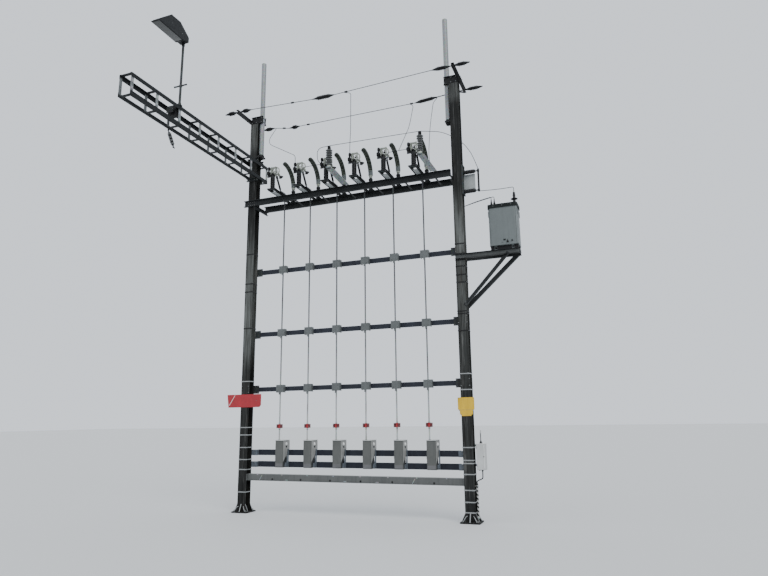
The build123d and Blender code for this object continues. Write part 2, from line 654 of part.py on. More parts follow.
with BuildPart() as push_link:
    with BuildSketch(LINK_PLANE.offset(-LEVER_HALF)):
        Circle(EYE_R)
        with Locations((1.5 * EYE_R, 0)):
            Rectangle(3 * EYE_R, 2 * LINK_R)
        Circle(LINK_PIN_R + PIN_PLAY, mode=Mode.SUBTRACT)
    extrude(amount=2 * LEVER_HALF)
    shank = LINK_DIR * (2.5 * EYE_R)
    fork = LINK_DIR * FORK_ROOT
    rod((0, LINK_FOOT_Y + shank.Y, LINK_FOOT_Z + shank.Z), (0, LINK_FOOT_Y + fork.Y, LINK_FOOT_Z + fork.Z), LINK_R)
    with BuildSketch(LINK_PLANE.offset(-FORK_OUT)):
        with Locations((FORK_ROOT + EYE_R / 2, 0)):
            Rectangle(EYE_R, 2 * EYE_R)
    extrude(amount=2 * FORK_OUT)
    for low in (-FORK_OUT, FORK_IN):
        with BuildSketch(LINK_PLANE.offset(low)):
            with Locations(((FORK_ROOT + LINK_RUN) / 2, 0)):
                Rectangle(LINK_RUN - FORK_ROOT, 2 * EYE_R)
            with Locations((LINK_RUN, 0)):
                Circle(EYE_R)
                Circle(LINK_PIN_R, mode=Mode.SUBTRACT)
        extrude(amount=FORK_OUT - FORK_IN)

with BuildPart() as contact_arm:
    rod((-UNIT_SHIFT - CHEEK_OUT, PIVOT_Y, PIVOT_Z), (-UNIT_SHIFT + CHEEK_OUT, PIVOT_Y, PIVOT_Z), PIN_R)
    for low in (-UNIT_SHIFT - CHEEK_OUT, -UNIT_SHIFT + CHEEK_IN):
        with BuildSketch(at_x(low)):
            with BuildLine():
                Polyline((PIVOT_Y + HUB_R, PIVOT_Z), (PIVOT_Y + HUB_R - CHEEK_TAPER, CHEEK_TOP),
                         (PIVOT_Y - HUB_R + CHEEK_TAPER, CHEEK_TOP), (PIVOT_Y - HUB_R, PIVOT_Z), close=True)
            make_face()
            with Locations((PIVOT_Y, PIVOT_Z)):
                Circle(HUB_R)
        extrude(amount=CHEEK_OUT - CHEEK_IN)
    bar(at_y(PIVOT_Y + PLATE / 2), rectangle((-UNIT_SHIFT - STRIP_REACH, -UNIT_SHIFT + STRIP_REACH),
                                             (STRIP_LOW, CHEEK_TOP)), PLATE)
    with BuildSketch(at_x(-LEVER_HALF)):
        with BuildLine():
            Polyline((PIVOT_Y, PIVOT_Z - LEVER_R), (LEVER_Y, LEVER_Z - EYE_R), (LEVER_Y, LEVER_Z + EYE_R),
                     (PIVOT_Y, PIVOT_Z + LEVER_R), close=True)
        make_face()
        with Locations((LEVER_Y, LEVER_Z)):
            Circle(EYE_R)
            Circle(LINK_PIN_R, mode=Mode.SUBTRACT)
        with Locations((PIVOT_Y, PIVOT_Z)):
            Circle(LEVER_R)
    extrude(amount=2 * LEVER_HALF)

# Surge arresters on sloping channels beside switches 3 and 6



def by_switch(unit, shift):
    """Point given by its shift along X from a switch."""
    return (UNIT_XS[unit] + shift[0], shift[1], shift[2])


with BuildPart() as surge_arresters:
    for unit, shift in ARRESTER_BASES.items():
        base = by_switch(unit, shift)
        foot = by_switch(unit, ARRESTER_FEET[unit])
        turned(base, (0, 0, 1), [(0.0, 50.0), (40.0, 50.0), (40.0, ARRESTER_R), (ARRESTER_HEIGHT - 70, ARRESTER_R),
                                 (ARRESTER_HEIGHT - 70, 40.0), (ARRESTER_HEIGHT, 30.0)])
        along = Vector(*foot) - Vector(*base)
        with BuildSketch(Plane(origin=base, x_dir=(0, 1, 0), z_dir=along)):
            Rectangle(ARRESTER_ARM, ARRESTER_ARM / 2)
        extrude(amount=along.length)
    split(bisect_by=at_z(BEAM_TOP), keep=Keep.TOP)

# Stiff leads from the lines to the switches, arresters, fuse and bushings


def arrester_top(unit):
    """Where a lead rests on an arrester."""
    x, y, z = by_switch(unit, ARRESTER_BASES[unit])
    return (x, y, z + ARRESTER_HEIGHT + LEAD_R + LEAD_GAP + 2)


def knob(unit):
    """Last points of a lead that comes down on the clamp of a switch."""
    x = UNIT_XS[unit] + KNOB_X
    return [(x, CLAMP_Y, KNOB_HIGH + LEAD_RISE), (x, CLAMP_Y, KNOB_HIGH + LEAD_GAP)]


def under_line(run, x, radius):
    """Start of a lead just below a line, or a clamp on it, at the given X."""
    (x0, y, z0), (x1, _, z1) = LINE_RUNS[run]
    return (x, y, z0 + (z1 - z0) * (x - x0) / (x1 - x0) - radius - LEAD_R)


def bent(points, radius):
    """Round conductor along straight runs whose corners are large tangent arcs."""
    runs = [Vector(*b) - Vector(*a) for a, b in zip(points, points[1:])]
    turns = [radians(a.get_angle(b)) for a, b in zip(runs, runs[1:])]
    bends = [0.45 * min(a.length, b.length) / tan(turn / 2) for a, b, turn in zip(runs, runs[1:], turns)]
    with BuildLine() as path:
        if bends:
            FilletPolyline(*points, radius=bends)
        else:
            Line(*points)
    with BuildSketch(Plane(origin=points[0], z_dir=runs[0])) as section:
        Circle(radius)
    sweep(sections=section.sketch, path=path.wires()[0])


def lead(*points):
    """One stiff lead."""
    bent(points, LEAD_R)


with BuildPart() as jumper_leads:
    x = UNIT_XS[1]
    lead(under_line(0, x - 140, CLAMP_R), (x - 60, LINE_A_Y, LINE_LOW - 30), (x - 60, LINE_A_Y, 8500.0),
         (x - 180, LINE_A_Y, 8415.0), *knob(1))
    lead(under_line(2, STRAIN_B_LEFT + 40, LINE_R), (TUBE_X + 106, 60.0, 8549.0), *knob(1))
    x = UNIT_XS[3]
    lead(under_line(1, x - 150, CLAMP_R), (x - 27, LINE_A_Y, LINE_LOW - 40), (x - 32, LINE_A_Y, 8106.0), *knob(3))
    x = UNIT_XS[5]
    lead(under_line(3, x - 306, CLAMP_R), (x - 266, LINE_B_Y, 8969.0), (x - 368, LINE_B_Y, 8487.0),
         (x - 333, CLAMP_Y, BRIDGE_Z))
    lead((x + 317, LINE_B_Y, LINE_LOW + 20), (x + 215, LINE_B_Y, 8960.0), (x + 123, LINE_B_Y, 8400.0),
         (x + 72, LINE_B_Y, 7733.0), (x + 82, POST_Y, 7420.0), (x + FERRULE_R + LEAD_GAP, POST_Y, 7420.0))
    for unit in (1, 4):
        left = UNIT_XS[unit] + TERMINAL_X
        lead((left, CLAMP_Y, TERMINAL_Z + LEAD_GAP), (left, CLAMP_Y, BRIDGE_Z),
             (UNIT_XS[unit + 1] + STUB_X - STUB_R - LEAD_GAP, CLAMP_Y, BRIDGE_Z))
    x = UNIT_XS[2]
    top = arrester_top(2)
    lead(top, (x - 160, top[1], top[2] - 10), (x - 149, top[1], 7530.0), (x + STUB_X, CLAMP_Y - STUB_R - 3, BRIDGE_Z))
    lead(top, arrester_top(5))
    lead(arrester_top(5), (RIGHT - 300, REAR + 30, 8040.0), (RIGHT + 115, REAR + 30, 7705.0),
         (RIGHT + 300, 60.0, 7400.0), (FUSE_X, 0.0, FUSE_HIGH + 3.0))
    lead((FUSE_X + FUSE_R + LEAD_GAP, 0.0, FUSE_LOW + 12), (FUSE_X + 350, 0.0, FUSE_LOW - 9),
         (BUSHING_X, 0.0, FUSE_LOW - 5), (BUSHING_X, 0.0, BUSHING_TOP + LEAD_GAP))
    for x in LV_XS:
        lead((RIGHT + SIDE + 2, LV_Y, LV_TOP - 70), (x - 290, LV_Y, LV_TOP + 10), (x, LV_Y, LV_TOP + 60),
             (x, LV_Y, LV_TOP + LEAD_GAP))

# Guide rails, their plates on the masts and the straps that guide the rods

with BuildPart() as guide_rails:
    for low in RAIL_LOWS:
        bar(at_x(RAIL_LEFT), channel(RAIL_Y, low, RAIL_HEIGHT, RAIL_REACH, RAIL_WEB, PLATE), RIGHT - 2 * RAIL_LEFT)

with BuildPart() as rail_plates:
    for low in RAIL_LOWS:
        middle = low + RAIL_HEIGHT / 2
        bar(at_y(RAIL_Y), rectangle((-SIDE, RAIL_PLATE_END),
                                    (middle - RAIL_PLATE_HEIGHT / 2, middle + RAIL_PLATE_HEIGHT / 2)), RAIL_Y - REAR)
    mirror(about=MIDDLE)

with BuildPart() as rod_guides:
    for x in ROD_XS:
        for low in RAIL_LOWS:
            middle = low + RAIL_HEIGHT / 2
            half = STRAP_WIDTH / 2
            with BuildSketch(at_z(middle - STRAP_HEIGHT / 2)):
                with BuildLine():
                    Polyline((x - half, RAIL_Y), (x - half, STRAP_FRONT), (x + half, STRAP_FRONT), (x + half, RAIL_Y),
                             (x + half - STRAP_THICK, RAIL_Y), (x + half - STRAP_THICK, STRAP_FRONT + STRAP_THICK),
                             (x - half + STRAP_THICK, STRAP_FRONT + STRAP_THICK),
                             (x - half + STRAP_THICK, RAIL_Y), close=True)
                make_face()
            extrude(amount=STRAP_HEIGHT)
            bar(at_y(STRAP_FRONT + STRAP_THICK),
                rectangle((x - TAB_WIDTH / 2, x + TAB_WIDTH / 2),
                          (middle - STRAP_HEIGHT / 2 - TAB_DROP, middle - STRAP_HEIGHT / 2)), STRAP_THICK)
            with BuildSketch(at_z(middle - GUIDE_THICK / 2)):
                with BuildLine():
                    Polyline((x - GUIDE_HALF, STRAP_FRONT + STRAP_THICK), (x + GUIDE_HALF, STRAP_FRONT + STRAP_THICK),
                             (x + GUIDE_HALF, RAIL_Y), (x - GUIDE_HALF, RAIL_Y), close=True)
                make_face()
                with Locations((x, ROD_Y)):
                    Circle(ROD_R + GUIDE_PLAY, mode=Mode.SUBTRACT)
            extrude(amount=GUIDE_THICK)

# Motor boxes on two stand-off rails

with BuildPart() as motor_rails:
    for low in MOTOR_RAIL_LOWS:
        bar(at_x(MOTOR_RAIL_LEFT), channel(MOTOR_RAIL_Y, low, MOTOR_RAIL_HEIGHT, RAIL_REACH, RAIL_WEB, PLATE),
            RIGHT - 2 * MOTOR_RAIL_LEFT)

with BuildPart() as motor_rail_brackets:
    for low in MOTOR_RAIL_LOWS:
        bar(at_z(low), [(0.0, REAR), (RAIL_PLATE_END, REAR), (RAIL_PLATE_END, MOTOR_RAIL_Y),
                        (RAIL_PLATE_END - PLATE, MOTOR_RAIL_Y), (RAIL_PLATE_END - PLATE, REAR + PLATE),
                        (0.0, REAR + PLATE)], MOTOR_RAIL_HEIGHT)
    mirror(about=MIDDLE)

with BuildPart() as motor_boxes:
    for x in ROD_XS:
        middle = x + MOTOR_SHIFT
        with BuildSketch(at_z(MOTOR_LOW)):
            with Locations((middle, (MOTOR_FRONT + MOTOR_REAR) / 2)):
                RectangleRounded(2 * MOTOR_HALF, MOTOR_REAR - MOTOR_FRONT, 10)
        extrude(amount=MOTOR_TOP - MOTOR_LOW)
        with BuildSketch(at_z(MOTOR_TOP)):
            with Locations((x, ROD_Y)):
                Circle(WELL_R)
        extrude(amount=-(MOTOR_TOP - ROD_FOOT + 20), mode=Mode.SUBTRACT)
        for low in MOTOR_RAIL_LOWS:
            bar(at_z(low + 20), rectangle((middle - 60, middle + 60), (MOTOR_REAR, MOTOR_RAIL_Y)), 60)

with BuildPart() as motor_lids:
    for x in ROD_XS:
        with BuildSketch(at_z(MOTOR_TOP)):
            with Locations((x + MOTOR_SHIFT, (MOTOR_FRONT + MOTOR_REAR) / 2)):
                RectangleRounded(2 * (MOTOR_HALF + LID_OVER), MOTOR_REAR - MOTOR_FRONT + 2 * LID_OVER, 12)
            with Locations((x, ROD_Y)):
                Circle(WELL_R, mode=Mode.SUBTRACT)
        extrude(amount=LID_THICK)

with BuildPart() as cable_duct:
    bar(at_x(SIDE), [(-DUCT_HALF - DUCT_LIP, DUCT_LOW), (DUCT_HALF, DUCT_LOW), (DUCT_HALF, DUCT_HIGH),
                     (-DUCT_HALF, DUCT_HIGH), (-DUCT_HALF, DUCT_LOW + DUCT_LIP),
                     (-DUCT_HALF - DUCT_LIP, DUCT_LOW + DUCT_LIP)], RIGHT - 2 * SIDE)
    for x in (SIDE, RIGHT - SIDE - PLATE):
        bar(at_x(x), rectangle((FRONT, REAR), (DUCT_LOW, DUCT_HIGH)), PLATE)

# Steel bands round the masts

with BuildPart() as mast_bands:
    for middle, heights in ((0.0, LEFT_BANDS), (RIGHT, RIGHT_BANDS)):
        for z in heights:
            with BuildSketch(at_z(z - BAND_HEIGHT / 2)):
                with Locations((middle, 0)):
                    Rectangle(MAST_WIDTH + 2 * BAND_THICK, MAST_DEPTH + 2 * BAND_THICK)
                    Rectangle(MAST_WIDTH, MAST_DEPTH, mode=Mode.SUBTRACT)
            extrude(amount=BAND_HEIGHT)

# Transformer: two channels with an end piece and struts, tank, cover and bushings

with BuildPart() as transformer_bracket:
    for face, way in ((REAR, 1), (FRONT, -1)):
        bar(at_x(TR_LEFT), channel(face, TR_LOW, TR_HEIGHT, way * TR_REACH, TR_WEB, PLATE), TR_RIGHT - TR_LEFT)
    bar(at_x(TR_RIGHT - TR_WEB), rectangle((FRONT, REAR), (TR_LOW, TR_LOW + TR_HEIGHT)), TR_WEB)
    for face, way, top_x in ((FRONT, -1, STRUT_FRONT_X), (REAR, 1, STRUT_REAR_X)):
        low = (RIGHT + SIDE - STRUT_LEG / 2, face, TR_LOW - STRUT_DROP)
        along = Vector(top_x, face, TR_LOW + STRUT_LEG / 2) - Vector(*low)
        with BuildSketch(Plane(origin=low, x_dir=(0, way, 0), z_dir=along)):
            with BuildLine():
                Polyline(*angle(0, -way * STRUT_LEG / 2, STRUT_LEG, way * STRUT_LEG, PLATE), close=True)
            make_face()
        extrude(amount=along.length)

with BuildPart() as transformer_tank:
    with BuildSketch(at_z(TANK_LOW)):
        with Locations(((TANK_LEFT + TANK_RIGHT) / 2, 0)):
            RectangleRounded(TANK_RIGHT - TANK_LEFT, 2 * TANK_HALF, TANK_CORNER)
    extrude(amount=TANK_HIGH - TANK_LOW)
    for x in (TANK_LEFT + SKID_FROM_ENDS, TANK_RIGHT - SKID_FROM_ENDS - TR_REACH):
        bar(at_y(REAR + TR_REACH), channel(x, TR_LOW + TR_HEIGHT, TANK_LOW - TR_LOW - TR_HEIGHT, TR_REACH, TR_WEB,
                                           TR_WEB), 2 * (REAR + TR_REACH))

with BuildPart() as transformer_cover:
    with BuildSketch(at_z(TANK_HIGH)):
        with Locations(((TANK_LEFT + TANK_RIGHT) / 2, 0)):
            RectangleRounded(TANK_RIGHT - TANK_LEFT + 2 * COVER_OVER, 2 * (TANK_HALF + COVER_OVER),
                             TANK_CORNER + COVER_OVER)
    extrude(amount=COVER_THICK)

with BuildPart() as transformer_bushings:
    rise = BUSHING_TOP - COVER_TOP
    turned((BUSHING_X, 0, COVER_TOP), (0, 0, 1), [(0.0, 60.0), (25.0, 60.0), (25.0, 30.0), (rise - 210, 30.0),
                                                  (rise - 200, 70.0), (rise - 185, 70.0), (rise - 170, 28.0),
                                                  (rise - 50, 24.0), (rise - 50, 10.0), (rise, 10.0)])
    for x in LV_XS:
        turned((x, LV_Y, COVER_TOP), (0, 0, 1), [(0.0, 32.0), (60.0, 28.0), (100.0, 18.0), (LV_TOP - COVER_TOP, 12.0)])

# Fuse holder on the right mast's outer side

with BuildPart() as fuse_holder:
    bar(at_x(RIGHT + SIDE), rectangle((-FUSE_PLATE_HALF, FUSE_PLATE_HALF), (FUSE_PLATE_LOW, FUSE_PLATE_HIGH)),
        FUSE_PLATE_THICK)
    for z in FUSE_ARM_ZS:
        start = RIGHT + SIDE + FUSE_PLATE_THICK
        run = FUSE_ARM_END - start
        turned((start, 0, z), (1, 0, 0), [(0.0, FUSE_ARM_R), (run, FUSE_ARM_R), (run, STRAIN_STEM_R),
                                          (FUSE_X - start, STRAIN_STEM_R)])
    rod((FUSE_X, 0, FUSE_LOW), (FUSE_X, 0, FUSE_HIGH), FUSE_R)

# Control box with its conduit at the right mast's foot

BOX_MIDDLE = (BOX_LEFT + BOX_RIGHT) / 2

with BuildPart() as control_box:
    with BuildSketch(at_z(BOX_LOW)):
        with Locations((BOX_MIDDLE, (BOX_FRONT + BOX_REAR) / 2)):
            RectangleRounded(BOX_RIGHT - BOX_LEFT, BOX_REAR - BOX_FRONT, 12)
    extrude(amount=BOX_HIGH - BOX_LOW)
    for z in (BOX_LOW + 60, BOX_HIGH - 60):
        bar(at_z(z), rectangle((RIGHT + SIDE, BOX_LEFT), (BOX_REAR - 30, REAR)), 40)
    turned((BOX_MIDDLE, 0, BOX_HIGH), (0, 0, 1), [(0.0, GLAND_R), (GLAND_HEIGHT, AERIAL_R),
                                                  (AERIAL_TOP - BOX_HIGH, AERIAL_R)])

with BuildPart() as control_conduit:
    rod((CONDUIT_X, 0, CONDUIT_LOW), (CONDUIT_X, 0, CONDUIT_HIGH), CONDUIT_R)
    bent([(CABLE_X, 0, BOX_LOW), (CABLE_X, 0, BOX_LOW - 80), (CONDUIT_X + 60, 0, CONDUIT_HIGH + 90),
          (CONDUIT_X, 0, CONDUIT_HIGH + 50), (CONDUIT_X, 0, CONDUIT_HIGH)], CABLE_R)
    for z in (CONDUIT_LOW + 2 * CONDUIT_R, CONDUIT_HIGH - 2 * CONDUIT_R):
        bar(at_z(z), rectangle((RIGHT + MAST_WEB / 2, CONDUIT_X - CONDUIT_R / 2), (-CONDUIT_R / 2, CONDUIT_R / 2)),
            CONDUIT_R)

# Bare signal plates

with BuildPart() as signal_plates:
    with BuildSketch(at_y(SIGN_FRONT + SIGN_THICK)):
        with BuildLine():
            Polyline((-RED_HALF, RED_LOW), (RED_HALF - RED_CORNER, RED_LOW), (RED_HALF, RED_LOW + RED_CORNER),
                     (RED_HALF, RED_HIGH), (-RED_TIP, RED_HIGH), close=True)
        make_face()
        with Locations((RIGHT, (YELLOW_LOW + YELLOW_HIGH) / 2)):
            Rectangle(2 * YELLOW_HALF, YELLOW_HIGH - YELLOW_LOW)
        with BuildLine():
            Polyline((RIGHT - TAB_HALF, YELLOW_LOW), (RIGHT - TAB_HALF, TAB_LOW + TAB_CORNER),
                     (RIGHT - TAB_HALF + TAB_CORNER, TAB_LOW), (RIGHT + TAB_HALF - TAB_CORNER, TAB_LOW),
                     (RIGHT + TAB_HALF, TAB_LOW + TAB_CORNER), (RIGHT + TAB_HALF, YELLOW_LOW), close=True)
        make_face()
    extrude(amount=SIGN_THICK)
    for x, z in ((0.0, (RED_LOW + RED_HIGH) / 2), (RIGHT, (YELLOW_LOW + YELLOW_HIGH) / 2)):
        bar(at_y(FRONT), rectangle((x - SIGN_BRACKET, x + SIGN_BRACKET), (z - SIGN_BRACKET / 3, z + SIGN_BRACKET / 3)),
            FRONT - SIGN_FRONT - SIGN_THICK)

STATIC = {
    "left_mast": left_mast,
    "right_mast": right_mast,
    "cross_arms": cross_arms,
    "extension_tubes": extension_tubes,
    "strain_insulators": strain_insulators,
    "busbar_lines": busbar_lines,
    "boom_chords": boom_chords,
    "boom_frames": boom_frames,
    "boom_seats": boom_seats,
    "lamp_pole": lamp_pole,
    "lamp_gear_box": lamp_gear_box,
    "boom_insulator": boom_insulator,
    "lamp_head": lamp_head,
    "platform_beams": platform_beams,
    "platform_cross": platform_cross,
    "switch_bases": switch_bases,
    "post_insulators": post_insulators,
    "arc_horns": arc_horns,
    "contact_heads": contact_heads,
    "surge_arresters": surge_arresters,
    "jumper_leads": jumper_leads,
    "guide_rails": guide_rails,
    "rail_plates": rail_plates,
    "rod_guides": rod_guides,
    "motor_rails": motor_rails,
    "motor_rail_brackets": motor_rail_brackets,
    "motor_boxes": motor_boxes,
    "motor_lids": motor_lids,
    "cable_duct": cable_duct,
    "mast_bands": mast_bands,
    "transformer_bracket": transformer_bracket,
    "transformer_tank": transformer_tank,
    "transformer_cover": transformer_cover,
    "transformer_bushings": transformer_bushings,
    "fuse_holder": fuse_holder,
    "control_box": control_box,
    "control_conduit": control_conduit,
    "signal_plates": signal_plates,
}

for name, piece in STATIC.items():
    piece.part.label = name
    export_step(piece.part, f"parts/{name}.step")

for name, piece in {"drive_rod": drive_rod, "push_link": push_link, "contact_arm": contact_arm}.items():
    for number, x in enumerate(ROD_XS, 1):
        placed = piece.part.moved(Location((x, 0, 0)))
        placed.label = f"{name}_{number}"
        export_step(placed, f"parts/{name}_{number}.step")
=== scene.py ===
import json
import math
from itertools import product

import bmesh
import bpy
from mathutils import Matrix, Vector


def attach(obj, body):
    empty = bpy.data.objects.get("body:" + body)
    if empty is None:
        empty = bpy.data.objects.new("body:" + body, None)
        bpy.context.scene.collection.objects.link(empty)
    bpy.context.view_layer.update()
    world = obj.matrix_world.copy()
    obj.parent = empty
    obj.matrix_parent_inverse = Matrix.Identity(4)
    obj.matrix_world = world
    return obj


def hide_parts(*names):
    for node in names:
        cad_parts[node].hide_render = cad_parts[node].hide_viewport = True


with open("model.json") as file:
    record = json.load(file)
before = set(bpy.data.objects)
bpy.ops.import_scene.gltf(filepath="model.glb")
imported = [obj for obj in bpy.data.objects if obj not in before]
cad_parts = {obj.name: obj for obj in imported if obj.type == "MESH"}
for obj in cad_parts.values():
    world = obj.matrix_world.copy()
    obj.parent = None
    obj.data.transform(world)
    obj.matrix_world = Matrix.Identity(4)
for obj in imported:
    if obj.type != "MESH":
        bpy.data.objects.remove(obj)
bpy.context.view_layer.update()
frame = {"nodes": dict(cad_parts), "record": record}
NODES = frame["nodes"]

# Sizes in metres, as in the solids. The left mast stands at x 0.
RIGHT = 5.0
SIDE, REAR = 0.1, 0.095
MASTS = ((0.0, 1), (RIGHT, -1))
ROD_XS = [0.818 + 0.678 * i for i in range(6)]
ROD_Y = 0.04
UNIT_XS = [x - 0.025 for x in ROD_XS]
BEAM_TOP, BASE_TOP, POST_TOP = 7.035, 7.085, 7.367
POST_Y = 0.48
PIVOT = (-0.45, 7.46)
HORN_Y, HORN_Z, HORN_R = 0.025, 7.455, 0.455
LINE_Z, LINE_LOW, LINE_FRONT, LINE_REAR = 9.12, 9.042, -0.6, 0.43
BOOM_LOW, BOOM_TOP, BOOM_HALF = 7.602, 8.036, 0.143
BATTEN_YS = [-0.38 - 0.638 * i for i in range(7)] + [0.3]
LAMP_X, LAMP_Y = 0.115, -2.932
TANK_LEFT, TANK_RIGHT, TANK_HALF, COVER_TOP = 5.63, 6.2, 0.2, 6.105
FUSE_X = 5.434
BOX_FRONT, BOX_LOW, BOX_TOP = -0.04, 0.935, 1.49
RAIL_MIDDLES = (5.3, 3.84, 2.6)
MAST_COAT_TOP = 9.2

# The camera as fitted to the photograph
PHOTO_WIDTH, FOCAL_PIXELS, SENSOR = 768, 605.4, 36
EYE = (7.732, -11.79, 1.918)
YAW, PITCH, ROLL = -0.3594505594, 0.2130697951, -0.0129677963

UP, DOWN, FRONT, BACK, EAST, WEST = (0, 0, 1), (0, 0, -1), (0, -1, 0), (0, 1, 0), (1, 0, 0), (-1, 0, 0)
AXES = {"x": (1, 2, 0), "y": (0, 2, 1), "z": (0, 1, 2)}


def mm(*values):
    """Pairs of numbers, given in millimetres."""
    return [(a / 1000, b / 1000) for a, b in zip(values[::2], values[1::2])]


def link(name, data):
    obj = bpy.data.objects.new(name, data)
    bpy.context.scene.collection.objects.link(obj)
    return obj


def set_camera():
    forward = Vector((math.sin(YAW) * math.cos(PITCH), math.cos(YAW) * math.cos(PITCH), math.sin(PITCH)))
    level = Vector((math.cos(YAW), -math.sin(YAW), 0))
    upright = level.cross(forward)
    right = math.cos(ROLL) * level + math.sin(ROLL) * upright
    up = -math.sin(ROLL) * level + math.cos(ROLL) * upright
    data = bpy.data.cameras.new("camera")
    data.sensor_width = SENSOR
    data.lens = FOCAL_PIXELS * SENSOR / PHOTO_WIDTH
    data.clip_end = 500
    cam = link("camera", data)
    cam.matrix_world = Matrix.Translation(EYE) @ Matrix((right, up, -forward)).transposed().to_4x4()
    bpy.context.scene.camera = cam


def set_light():
    """Overcast sky with two very soft suns."""
    world = bpy.data.worlds.new("sky")
    bpy.context.scene.world = world
    world.use_nodes = True
    back = world.node_tree.nodes["Background"]
    back.inputs["Color"].default_value = (0.8, 0.85, 0.92, 1)
    back.inputs["Strength"].default_value = 1.25
    for name, energy, angle, turn in (("key", 1.5, 40, (50, 0, 42)), ("fill", 0.3, 60, (62, 0, -60))):
        data = bpy.data.lights.new(name, "SUN")
        data.energy = energy
        data.angle = math.radians(angle)
        data.color = (1, 0.985, 0.96)
        link(name, data).rotation_euler = [math.radians(a) for a in turn]


def set_floor():
    bm = bmesh.new()
    bmesh.ops.create_grid(bm, x_segments=8, y_segments=8, size=140)
    mesh = bpy.data.meshes.new("floor")
    bm.to_mesh(mesh)
    mat = bpy.data.materials.new("floor_pale")
    mat.use_nodes = True
    shader = mat.node_tree.nodes["Principled BSDF"]
    shader.inputs["Base Color"].default_value = (0.62, 0.63, 0.63, 1)
    shader.inputs["Roughness"].default_value = 0.9
    mesh.materials.append(mat)
    link("floor", mesh)


class Nodes:
    """Node tree of one material, with its textures in the object's own space."""

    def __init__(self, name):
        self.mat = bpy.data.materials.new(name)
        self.mat.use_nodes = True
        self.tree = self.mat.node_tree
        self.shader = self.tree.nodes["Principled BSDF"]
        self.coord = self.add("TexCoord").outputs["Object"]

    def feed(self, socket, value):
        """Gives an input a number, a colour or another node's output."""
        if isinstance(value, bpy.types.NodeSocket):
            self.tree.links.new(value, socket)
        else:
            socket.default_value = value

    def add(self, kind, **inputs):
        node = self.tree.nodes.new("ShaderNode" + kind)
        for name, value in inputs.items():
            self.feed(node.inputs[name.replace("_", " ")], value)
        return node

    def noise(self, scale, detail=4, rough=0.6, stretch=(1, 1, 1), distort=0.0):
        mapped = self.add("Mapping", Scale=stretch, Vector=self.coord).outputs["Vector"]
        return self.add("TexNoise", Scale=scale, Detail=detail, Roughness=rough, Distortion=distort,
                        Vector=mapped).outputs["Fac"]

    def cells(self, scale):
        return self.add("TexVoronoi", Scale=scale, Vector=self.coord).outputs["Color"]

    def ramp(self, value, stops):
        node = self.add("ValToRGB", Fac=value)
        points = node.color_ramp.elements
        while len(points) < len(stops):
            points.new(0.5)
        for point, (at, colour) in zip(points, stops):
            point.position = at
            point.color = (*colour, 1) if isinstance(colour, tuple) else (colour, colour, colour, 1)
        return node.outputs["Color"]

    def mix(self, a, b, fac, mode="MIX"):
        node = self.add("Mix")
        node.data_type, node.blend_type = "RGBA", mode
        for slot, value in ((0, fac), (6, a), (7, b)):
            self.feed(node.inputs[slot], (*value, 1) if isinstance(value, tuple) else value)
        return node.outputs[2]

    def range(self, value, low, high, start=0.3, end=0.7):
        return self.add("MapRange", Value=value, From_Min=start, From_Max=end, To_Min=low,
                        To_Max=high).outputs["Result"]

    def height(self, low, high):
        """Rises from 0 to 1 between two heights."""
        return self.range(self.add("SeparateXYZ", Vector=self.coord).outputs["Z"], 0, 1, low, high)

    def up_facing(self, start=0.5, end=0.95):
        normal = self.add("NewGeometry").outputs["Normal"]
        return self.range(self.add("SeparateXYZ", Vector=normal).outputs["Z"], 0, 1, start, end)

    def finish(self, colour, rough, relief, strength, depth=0.0015, metal=0.0, spec=0.5):
        """Connects the shader and gives the surface its fine relief."""
        normal = self.add("Bump", Strength=strength, Distance=depth, Height=relief).outputs["Normal"]
        for name, value in (("Base Color", colour), ("Roughness", rough), ("Metallic", metal),
                            ("Specular IOR Level", spec), ("Normal", normal)):
            self.feed(self.shader.inputs[name], value)
        return self.mat


def shade(colour, k):
    return tuple(min(1.0, v * k) for v in colour)


def weathered(name, tones, metal=0.0, rough=(0.45, 0.75), grain=30, streak=0.5, patch=3.0, dust=0.35, spangle=0.0,
              bump=0.25, rust=0.0, spec=0.5):
    """Painted or galvanised metal: patches, vertical streaks, dust on top, fine grain."""
    base, dirt, light = (tuple(v / 1000 for v in tones[i:i + 3]) for i in (0, 3, 6))
    n = Nodes(name)
    col = n.ramp(n.noise(patch, 6, 0.65, (1, 1, 0.6), 0.3),
                 [(0.3, shade(base, 0.82)), (0.5, base), (0.72, shade(base, 1.15))])
    if spangle:
        col = n.mix(col, n.mix(col, n.cells(55), 1.0, "SOFT_LIGHT"), spangle)
    col = n.mix(col, dirt, n.range(n.noise(16, 5, 0.6, (1, 1, 0.07)), 0, streak, 0.48, 0.72))
    col = n.mix(col, light, n.range(n.noise(grain * 1.7, 3, 0.6), 0, 0.35, 0.58, 0.75))
    if rust:
        col = n.mix(col, (0.16, 0.07, 0.03), n.range(n.noise(7, 7, 0.7, (1, 1, 0.35), 0.4), 0, rust, 0.56, 0.7))
    if dust:
        col = n.mix(col, light, n.range(n.up_facing(), 0, dust, 0, 1))
    return n.finish(col, n.range(n.noise(grain, 5, 0.7), *rough), n.noise(grain * 4, 4, 0.6), bump, 0.0015, metal, spec)


def glaze(name, base, dusty, rough=(0.18, 0.4)):
    """Glazed or rubber insulator: even colour with dust on the sheds and run marks."""
    n = Nodes(name)
    col = n.ramp(n.noise(9, 5, 0.6), [(0.3, shade(base, 0.75)), (0.7, shade(base, 1.3))])
    col = n.mix(col, dusty, n.range(n.up_facing(0.15, 0.9), 0.04, 0.55, 0, 1))
    col = n.mix(col, dusty, n.range(n.noise(26, 4, 0.7, (1, 1, 0.3)), 0, 0.25, 0.5, 0.75))
    return n.finish(col, n.range(n.noise(60, 4), *rough), n.noise(140, 3), 0.12, 0.001, spec=0.3)


